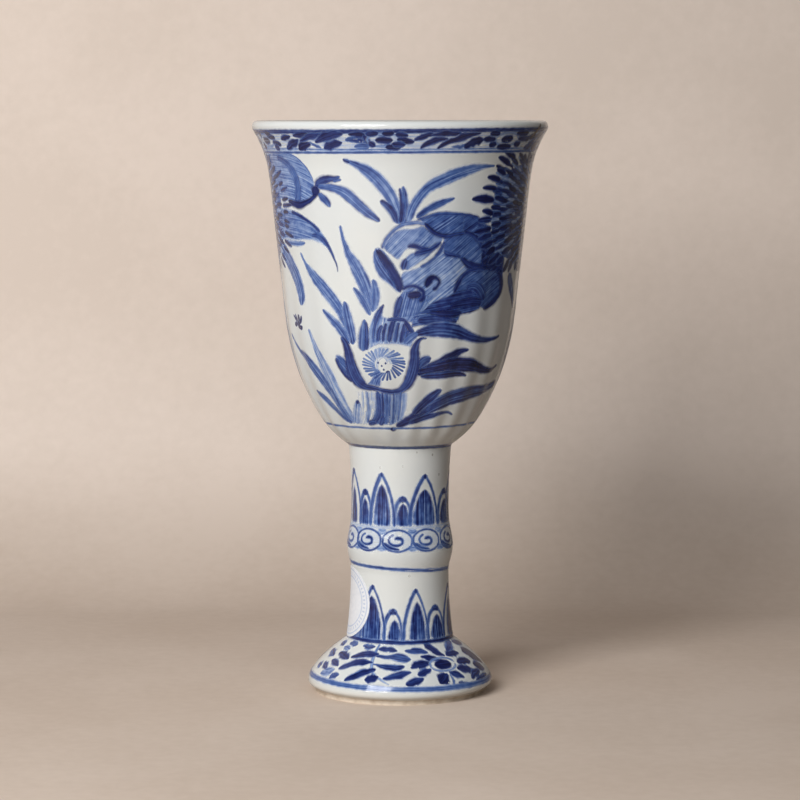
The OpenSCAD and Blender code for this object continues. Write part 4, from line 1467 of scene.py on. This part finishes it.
def border_part(turn, leaves, flowers, shake):
    """Border leaves and flowers, turned round the cup."""
    made = [stroke(tone + border_depth, uneven(tapered(turned(points, turn, shake))), gain=border_gain)
            for tone, *points in leaves]
    for angle, height, petals in flowers:
        rim = hoop(angle, height, hoop_reach, hoop_brush, np.linspace(0, math.tau, hoop_points))
        made.append(stroke(hoop_tone, turned(rim, turn), line_streak))
        made.append(stroke(bud_tone, turned(bud(angle, height, bud_reach, bud_brush), turn)))
        for a, b, c, d in petals:
            dab = ((a, b, petal_brush[0]), ((a + c) / 2, (b + d) / 2, petal_brush[1]), (c, d, petal_brush[0]))
            tone = painter.uniform(*petal_tone)
            made.append(stroke(tone, turned(dab, turn, shake), gain=border_gain))
    return made


border = [band(*one) for one in border_bands]
border += [ring_line(*line, border_start) for line in border_lines]
border += border_part(0, border_leaves, border_flowers, 0)
border += border_part(back_turn, border_leaves, border_flowers, border_shake)
for side_turn in side_turns:
    border += border_part(side_turn, side_leaves, [], border_shake)
lay("lip_border", border, painted)

# %% [markdown]
# The stem carries two rows of standing lappets, leaf shapes with a line round them, a white gap and a
# streaked dark core. Tall and short ones take turns, seven of each, and no two are alike. Each entry
# is a lappet's middle, half width and tip, then its core's offset, half width and tip.

# %% Sizes of the lappets
upper_base = 50.9
upper_tall = [(-67, 15, 67.3, -1, 6, 62.5), (-21.5, 15, 66.8, 0, 8.5, 63.5),
              (30, 18.5, 66.2, 0, 12.5, 61.7), (83, 16, 66.5, 0, 8, 62.5), (136, 16, 67, 0, 9, 62),
              (187, 16, 66.2, 0, 8, 62.6), (240, 17, 66.8, 1, 10, 62)]
upper_short = [(-44.5, 8.5, 61.5, -1, 6, 59.3), (3, 9.5, 59.8, 0.5, 6.6, 58), (63, 12, 61.3, 1, 8, 58.5),
               (109.5, 9, 60.6, 0, 5, 57.6), (161.5, 9, 61, 0, 5, 58), (213.5, 9, 60.4, 0, 5, 57.4),
               (266, 9, 61.2, 0, 5, 58.2)]
lower_base = 16.9
lower_tall = [(-33.5, 16.5, 33.2, -1, 11, 30), (18.5, 14.5, 32.3, 1.5, 7.5, 28.6),
              (76, 19, 32.6, 0, 9, 28.5), (127, 16, 32.4, 0, 8, 28.6), (178, 16, 33, 0, 8, 29),
              (229, 16, 32.2, 0, 8, 28.4), (278, 15, 32.8, 0, 8, 28.8)]
lower_short = [(-8, 9.5, 26.4, 2, 5.6, 23.6), (44, 12, 27, 2, 8.2, 24.4), (101.5, 9, 26.6, 0, 5, 23.4),
               (152.5, 9, 27, 0, 5, 23.6), (203.5, 9, 26.4, 0, 5, 23.2), (253.5, 9, 26.8, 0, 5, 23.4),
               (302, 9, 26.4, 0, 5, 23.4)]
print(len(upper_tall + upper_short), "lappets above and", len(lower_tall + lower_short), "below")

# %% Lappets on the stem
tall_bow = ((1, 0), (0.97, 0.25), (0.79, 0.51), (0.45, 0.78), (0.14, 0.94), (0.02, 1.01))
short_bow = ((1, 0), (1, 0.4), (0.82, 0.68), (0.4, 0.89), (0.05, 1.0))
core_bow = ((1.15, 0), (1.1, 0.35), (0.74, 0.7), (0.02, 1.05))
core_tone, core_end, core_streak = 0.66, 0.92, 0.38
flank_tone, flank_lean = 0.66, 0.15
blot_reach, blot_tone = 0.45, 0.8
blot_drop, blot_brush = (1.6, 0.6), (0.4, 1.3)
tip_tone = 0.85
tip_shares, tip_over = (0.92, 0.97), 0.5
tip_brush = (0.5, 0.8, 0.1)
tip_cell = 0.4
upper_band = (0.22, 50.2, 51.2, 0.15)
upper_brush = (0.75, 0.75)
lower_brush = (0.65, 0.6)


def lappet(middle, half, tip, offset, core, core_tip, base, bow, brush):
    """One lappet: its core, its outline up both sides and the dab at its tip."""
    centre, core_rise, rise = middle + offset, core_tip - base, tip - base
    rails = [[(centre + side * core * share, base + core_rise * up) for share, up in core_bow]
             for side in (-1, 1)]
    films = [wash(core_tone, *rails, core_streak, end_tone=core_end)]
    for side in (-1, 1):
        flank = [(middle + side * half * share, base + rise * up, brush - flank_lean * side)
                 for share, up in bow]
        films.append(stroke(flank_tone, flank, line_streak))
    if bow is short_bow:
        blot = [(middle + way * blot_reach * half, tip - blot_drop[way == 0], blot_brush[way == 0])
                for way in (-1, 0, 1)]
        films.append(stroke(blot_tone, blot, cell=tip_cell))
    heights = [base + share * rise for share in tip_shares] + [tip + tip_over]
    dab = [(middle, height, width) for height, width in zip(heights, tip_brush)]
    films.append(stroke(tip_tone, dab, cell=tip_cell))
    return films


def lappet_row(tall_ones, short_ones, base, brush):
    """A row of lappets, each tall one laid over the short one beside it."""
    films = []
    for tall, short in zip(tall_ones, short_ones):
        films += lappet(*short, base, short_bow, brush[0]) + lappet(*tall, base, tall_bow, brush[1])
    return films


upper = [band(*upper_band)] + lappet_row(upper_tall, upper_short, upper_base, upper_brush)
lay("upper_lappets", upper, painted)
lay("lower_lappets", lappet_row(lower_tall, lower_short, lower_base, lower_brush), painted)

# %% [markdown]
# Round the swelling of the stem runs a band of snail scrolls. Each is one line that winds outwards
# from a thick end over a pale wash, with a ring round it and a dark corner beside its neighbour.

# %% Scrolls round the swelling
scroll_middles = (-69, -38, -3, 31, 67, 98, 131, 164, 197, 229, 260)
scroll_height = 47.0
scroll_turns = 1.2
scroll_points = 20
scroll_first = (2.6, 0.45)
scroll_last = (10.6, 1.85)
scroll_band = (0.1, 43.9, 50.4, 0.02)
scroll_brush = (0.85, 0.4)
scroll_tone, scroll_cell = 0.76, 0.35
ring_reach = (16.6, 3.15)
ring_turns = np.linspace(-2.6, math.tau - 2.2, 18)
ring_tone, ring_cell = 0.72, 0.5
shade_points = ((-15.5, 46.6, 0.4), (-12, 45.5, 1.1), (-5, 44.8, 0.8), (3, 44.4, 0.3))
shade_tone = 0.72
corner_marks = ((0.32, (50.4, 49.6), (0.4, 1.2)), (0.36, (44.1, 44.8), (0.5, 1.2)))
corner_half = 5


def scroll_line(middle):
    """A line that winds outwards from its thick end."""
    winding = []
    for share in np.linspace(0, 1, scroll_points + 1):
        turn = math.pi - math.tau * scroll_turns * share
        reach = [first + (last - first) * share for first, last in zip(scroll_first, scroll_last)]
        brush = scroll_brush[0] + (scroll_brush[1] - scroll_brush[0]) * share
        winding.append((middle + reach[0] * math.cos(turn), scroll_height + reach[1] * math.sin(turn), brush))
    return winding


scrolls = [band(*scroll_band)]
for middle, after in zip(scroll_middles, scroll_middles[1:] + (scroll_middles[0] + 360,)):
    corner = (middle + after) / 2
    for tone, (outer, inner), (thin, full) in corner_marks:
        scrolls.append(stroke(tone, ((corner - corner_half, outer, thin), (corner, inner, full),
                                     (corner + corner_half, outer, thin))))
for middle in scroll_middles[::2] + scroll_middles[1::2]:
    ring = hoop(middle, scroll_height, ring_reach, scroll_brush[1], ring_turns)
    scrolls += [stroke(shade_tone, turned(shade_points, middle)),
                stroke(scroll_tone, scroll_line(middle), line_streak, cell=scroll_cell),
                stroke(ring_tone, ring, line_streak, cell=ring_cell)]
lay("swelling_scrolls", scrolls, painted)

# %% [markdown]
# The domed foot is covered with leafy sprays and open flowers. A spray is a thin bent stem with dabs
# to both sides. A flower is a dark oval in a ring with petals all round. As on the bowl, the marks in
# front are set one by one and the back repeats them with another hand.

# %% Marks on the foot
foot_marks = [
    (0.42, (-22, 16, 0.4), (-23, 13.5, 0.5), (-22, 11, 0.5), (-20.5, 9.8, 0.5), (-18, 8.8, 0.4),
     (-14, 7.8, 0.4), (-8, 6.5, 0.3)),
    (0.68, (-40, 15.4, 0.7), (-35, 15.4, 1.5), (-27, 15.3, 0.8)),
    (0.82, (-20, 15, 1.2), (-11, 15, 1.6), (-3.6, 14.7, 0.8)),
    (0.72, (5.6, 14.8, 0.8), (13, 14.7, 1.6), (24.4, 14.3, 0.9)),
    (0.82, (-43, 12.5, 0.8), (-34, 13.3, 1.6), (-21, 13.8, 0.8)),
    (0.74, (-18.6, 13.2, 0.9), (-5, 13.1, 1.5), (3, 12.9, 1.8), (8.4, 12.7, 0.8)),
    (0.86, (-47.6, 9.2, 0.8), (-41, 10.6, 1.7), (-34, 11.4, 1.7), (-23.6, 11.6, 0.8)),
    (0.80, (-19.6, 11.2, 0.9), (-10, 10.8, 1.2), (-5, 10.6, 1.7), (2.4, 11, 0.9)),
    (0.86, (-37.6, 6.6, 0.9), (-31, 8, 1.7), (-25, 9.2, 1.7), (-18.6, 9.8, 0.8)),
    (0.88, (-23.4, 7.3, 1.0), (-19.4, 7.6, 2.0), (-15.4, 8.3, 0.9)),
    (0.86, (-10.6, 8, 0.7), (-4, 8.4, 1.6), (2, 9, 1.7), (7.4, 9.4, 0.7)),
    (0.88, (4.4, 6.3, 1.0), (9, 6.9, 1.7), (15.2, 7.6, 0.7)),
    (0.88, (8.6, 10.8, 1.0), (14, 11.2, 1.9), (22.6, 11.4, 0.9)),
    (0.86, (12.6, 8.8, 0.8), (17, 9.3, 1.5), (22.4, 9.9, 0.8)),
    (0.90, (18.6, 13, 0.8), (25, 12.8, 1.6), (32.4, 12.2, 0.7)),
    (0.90, (26.4, 16.1, 0.8), (31, 15.2, 1.9), (35, 13.9, 1.6), (40.4, 13, 0.8)),
    (0.94, (26.6, 6.3, 1.2), (30, 7.4, 2.7), (33.4, 8.5, 1.2)),
    (0.82, (36.6, 8.7, 0.6), (41, 8, 1.5), (46.4, 7.1, 0.7)),
    (0.90, (45.6, 9.3, 0.8), (52, 9, 1.9), (58.6, 8.2, 0.8)),
    (0.90, (49.6, 11, 0.9), (56, 10.9, 2.0), (63.6, 10.4, 0.9)),
    (0.90, (43.6, 12.8, 0.9), (51, 13.1, 2.0), (58.4, 13, 0.9)),
    (0.72, (48, 14.1, 0.7), (56, 15, 1.8), (65.4, 15.7, 0.7)),
    (0.84, (68, 15.4, 0.9), (75, 15, 1.8), (84, 14.4, 0.9)),
    (0.96, (67, 12.8, 1.2), (73, 12.2, 2.8), (79, 10.6, 2.6), (84, 8.6, 1.0)),
    (0.90, (66, 9.4, 1.0), (71, 8.6, 2.2), (77, 7.4, 1.0)),
    (0.80, (54, 6.4, 0.8), (60, 7, 1.9), (66.4, 7.4, 0.8)),
    (0.84, (58, 5.4, 0.6), (66, 5.8, 1.2), (74, 6, 0.6)),
    (0.60, (34, 5, 0.3), (37, 6.8, 0.5), (36, 8.2, 0.3)),
    (0.86, (41, 5.6, 0.5), (46, 4.9, 1.2), (50.6, 4.1, 0.5)),
    (0.66, (-61, 15.7, 0.7), (-56, 15.5, 1.5), (-49, 15.4, 0.6)),
    (0.45, (-63, 14.2, 0.6), (-58, 14.2, 1.3), (-53.4, 14, 0.5)),
    (0.84, (-61.4, 12.7, 0.8), (-55, 12.5, 1.8), (-46.6, 11.9, 0.8)),
    (0.80, (-62.4, 10.8, 0.7), (-57, 10.5, 1.5), (-51.6, 9.7, 0.7)),
    (0.74, (-70.4, 9.4, 0.7), (-66, 9, 1.6), (-61.6, 8.3, 0.7)),
    (0.42, (-64, 6.8, 0.8), (-58, 7.8, 1.9), (-52.6, 8.5, 0.7)),
    (0.66, (-52.4, 6.6, 0.7), (-49, 7.2, 1.5), (-45.6, 7.8, 0.6)),
    (0.70, (-79, 8.7, 0.7), (-76, 8.5, 1.5), (-72.6, 8.2, 0.7)),
    (0.70, (-78, 15, 0.6), (-73, 14.8, 1.5), (-68, 14.4, 0.6)),
    (0.74, (-80, 12.8, 0.8), (-74, 12.2, 1.8), (-67, 11.6, 0.8)),
]
print(len(foot_marks), "marks on each half of the foot")

# %% Sprays and flowers on the foot
foot_gain = 1.14
foot_shake = 0.15
foot_flower = (34.5, 10.9)
eye_reach, eye_tone, eye_brush = 8, 0.96, (1.0, 3.0)
rim_reach, rim_tone, rim_brush = (11.5, 1.65), 0.5, 0.4
rim_points = 17


def foot_scene(turn, shake):
    """Sprays and a flower on one half of the foot."""
    made = [stroke(tone, uneven(tapered(turned(points, turn, shake))), gain=foot_gain)
            for tone, *points in foot_marks]
    made.append(stroke(eye_tone, turned(bud(*foot_flower, eye_reach, eye_brush), turn)))
    rim = hoop(*foot_flower, rim_reach, rim_brush, np.linspace(0, math.tau, rim_points))
    made.append(stroke(rim_tone, turned(rim, turn), line_streak, ring_pool))
    return made


lay("foot_foliage", foot_scene(0, 0) + foot_scene(back_turn, foot_shake), painted)

# %% [markdown]
# Plain lines close off each zone. They were drawn with the cup turning on a wheel, so they run all the
# way round, wander a little and overlap where the brush came back to its start.

# %% Lines round the cup
round_lines = ((81.1, 0.5, 0.52, 0.1, 120), (74.6, 1.2, 0.74, -0.2, -17), (38.3, 0.75, 0.60, -0.95, 160),
               (16.8, 0.9, 0.80, -0.1, 100), (5.15, 1.1, 0.52, -0.5, 140))
lay("round_lines", [ring_line(*line) for line in round_lines], painted)

# %% [markdown]
# A few grains of iron in the clay burnt through the glaze as brown specks, and a small chip on the lip at the
# right is a dark brown dab, its stain and its shade painted as colour. They are laid as films too, with brown
# in place of the cobalt.

# %% Kiln specks
specks = [(0.95, 19, 73.1, 0.1), (0.5, 39, 72.1, 0.3), (0.12, -23, 68.5, 0.3), (0.14, 3, 69, 0.3),
          (0.25, 51, 66, 0.3), (0.2, 11, 36.4, 0.4)]
# The chip on the lip is a dark brown dab, with the shade in the chip painted into its colour.
chip_stain_and_shade = ((63.5, 164.6, 0.6), (65.5, 166.4, 1.2), (67.5, 168.2, 1.0), (69, 169, 0.4))
chip_stain_and_shade_tone, chip_stain_and_shade_cell = 0.97, 0.4
speck_half, speck_cell = 0.3, 0.2

iron, tree, shader, place = new_material("iron_specks")
outputs = place_glaze(tree, shader, place)
amount = node(tree, "Attribute", attribute_name="tone").outputs["Fac"]
tree.links.new(mixed(tree, amount, outputs["Color"], speck_brown), shader.inputs["Base Color"])
rim = node(tree, "Attribute", attribute_name="edge").outputs["Fac"]
tree.links.new(scaled(tree, rim, 0.0, bleed), shader.inputs["Alpha"])
dots = [stroke(chip_stain_and_shade_tone, chip_stain_and_shade, cell=chip_stain_and_shade_cell)]
for tone, angle, height, width in specks:
    spot = ((angle, height - speck_half - width / 2, width), (angle, height + speck_half + width / 2, width))
    dots.append(stroke(tone, spot, cell=speck_cell, soft=fine_bleed))
lay("kiln_specks", dots, iron)

# %% [markdown]
# The round paper sticker on the stem is cut from thin card. A disc is inset again and again, so it has
# rings of corners, and each corner is then wrapped round the stem. It stays blank, with only plain
# printed rings near its rim.

# %% The card of the label
label_corners = 96
label_rings = 10
label_lean = 4
label_thick = 0.12 * MM
label_gap = 0.05 * MM
label_low, label_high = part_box("paper_label")
label_radius = (label_high.z - label_low.z) / 2
label_centre = (label_high.z + label_low.z) / 2
label_mean = corner_places(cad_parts["paper_label"].data).mean(axis=0)
label_angle = math.degrees(math.atan2(label_mean[0], -label_mean[1])) + label_lean

bpy.ops.object.select_all(action="DESELECT")
bpy.ops.mesh.primitive_circle_add(vertices=label_corners, radius=label_radius, fill_type="NGON")
label = bpy.context.object
label.name = "paper_sticker"
bpy.ops.object.mode_set(mode="EDIT")
bpy.ops.mesh.select_all(action="SELECT")
for ring in range(label_rings):
    bpy.ops.mesh.inset(thickness=label_radius / (label_rings + 1))
bpy.ops.object.mode_set(mode="OBJECT")
flat = corner_places(label.data)
spread = label.data.attributes.new("spread", "FLOAT", "POINT")
spread.data.foreach_set("value", np.hypot(flat[:, 0], flat[:, 1]) / label_radius)
card = label.data.attributes.new("card", "FLOAT_VECTOR", "POINT")
card.data.foreach_set("vector", (flat / label_radius).ravel())
wide = skin_scale(label_centre / MM)[0] * MM
wrapped = skin(label_angle + flat[:, 0] / wide, label_centre + flat[:, 1], label_gap)
label.data.vertices.foreach_set("co", wrapped.ravel())
label.data.update()
thicken = label.modifiers.new("card", "SOLIDIFY")
thicken.thickness = label_thick
thicken.offset = 1
bpy.ops.object.modifier_apply(modifier=thicken.name)
bpy.ops.object.shade_smooth_by_angle(angle=smooth_angle)
print("label radius", round(label_radius / MM, 1), "mm at", round(label_angle), "degrees")

# %% The paper of the label
ring_edges = ((0.68, 0.70, 0.72, 0.74), (0.88, 0.90, 0.92, 0.94))
tick_edges = (0.75, 0.77, 0.84, 0.86)
fibre_scale = 900.0
fibre_stops = (0.35, 0.65)
sheet_colours = ((0.84, 0.86, 0.90), (0.91, 0.92, 0.95))
ink_colour = (0.42, 0.53, 0.74, 1)
ink_depth = 0.6
label_ticks = 46
tick_span = (0.2, 0.6)
label_rough = 0.6


def printed_ring(start, full, fade, end):
    """A ring printed on the card between shares of its radius, with soft edges."""
    return maths(tree, "MULTIPLY", scaled(tree, out, start, full), scaled(tree, out, fade, end, 1.0, 0.0))


paper, tree, shader, place = new_material("label_paper")
fibre = node(tree, "TexNoise", {"Vector": place, "Scale": fibre_scale, "Detail": 4.0}).outputs["Fac"]
sheet = ramp(tree, fibre, list(zip(fibre_stops, sheet_colours)))
out = node(tree, "Attribute", attribute_name="spread").outputs["Fac"]
on_card = node(tree, "Attribute", attribute_name="card").outputs["Vector"]
axes = node(tree, "SeparateXYZ", {"Vector": on_card}).outputs
round_card = maths(tree, "MULTIPLY", maths(tree, "ARCTAN2", axes["Y"], axes["X"]), label_ticks)
ticks = scaled(tree, maths(tree, "SINE", round_card), *tick_span)
ink = maths(tree, "ADD", *[printed_ring(*edges) for edges in ring_edges])
ink = maths(tree, "ADD", ink, maths(tree, "MULTIPLY", ticks, printed_ring(*tick_edges)))
ink = maths(tree, "MULTIPLY", ink, ink_depth)
tree.links.new(mixed(tree, ink, sheet, ink_colour), shader.inputs["Base Color"])
shader.inputs["Roughness"].default_value = label_rough
label.data.materials.append(paper)
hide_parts("paper_label")
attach(label, "root")
print("label paper has", len(tree.nodes), "nodes")
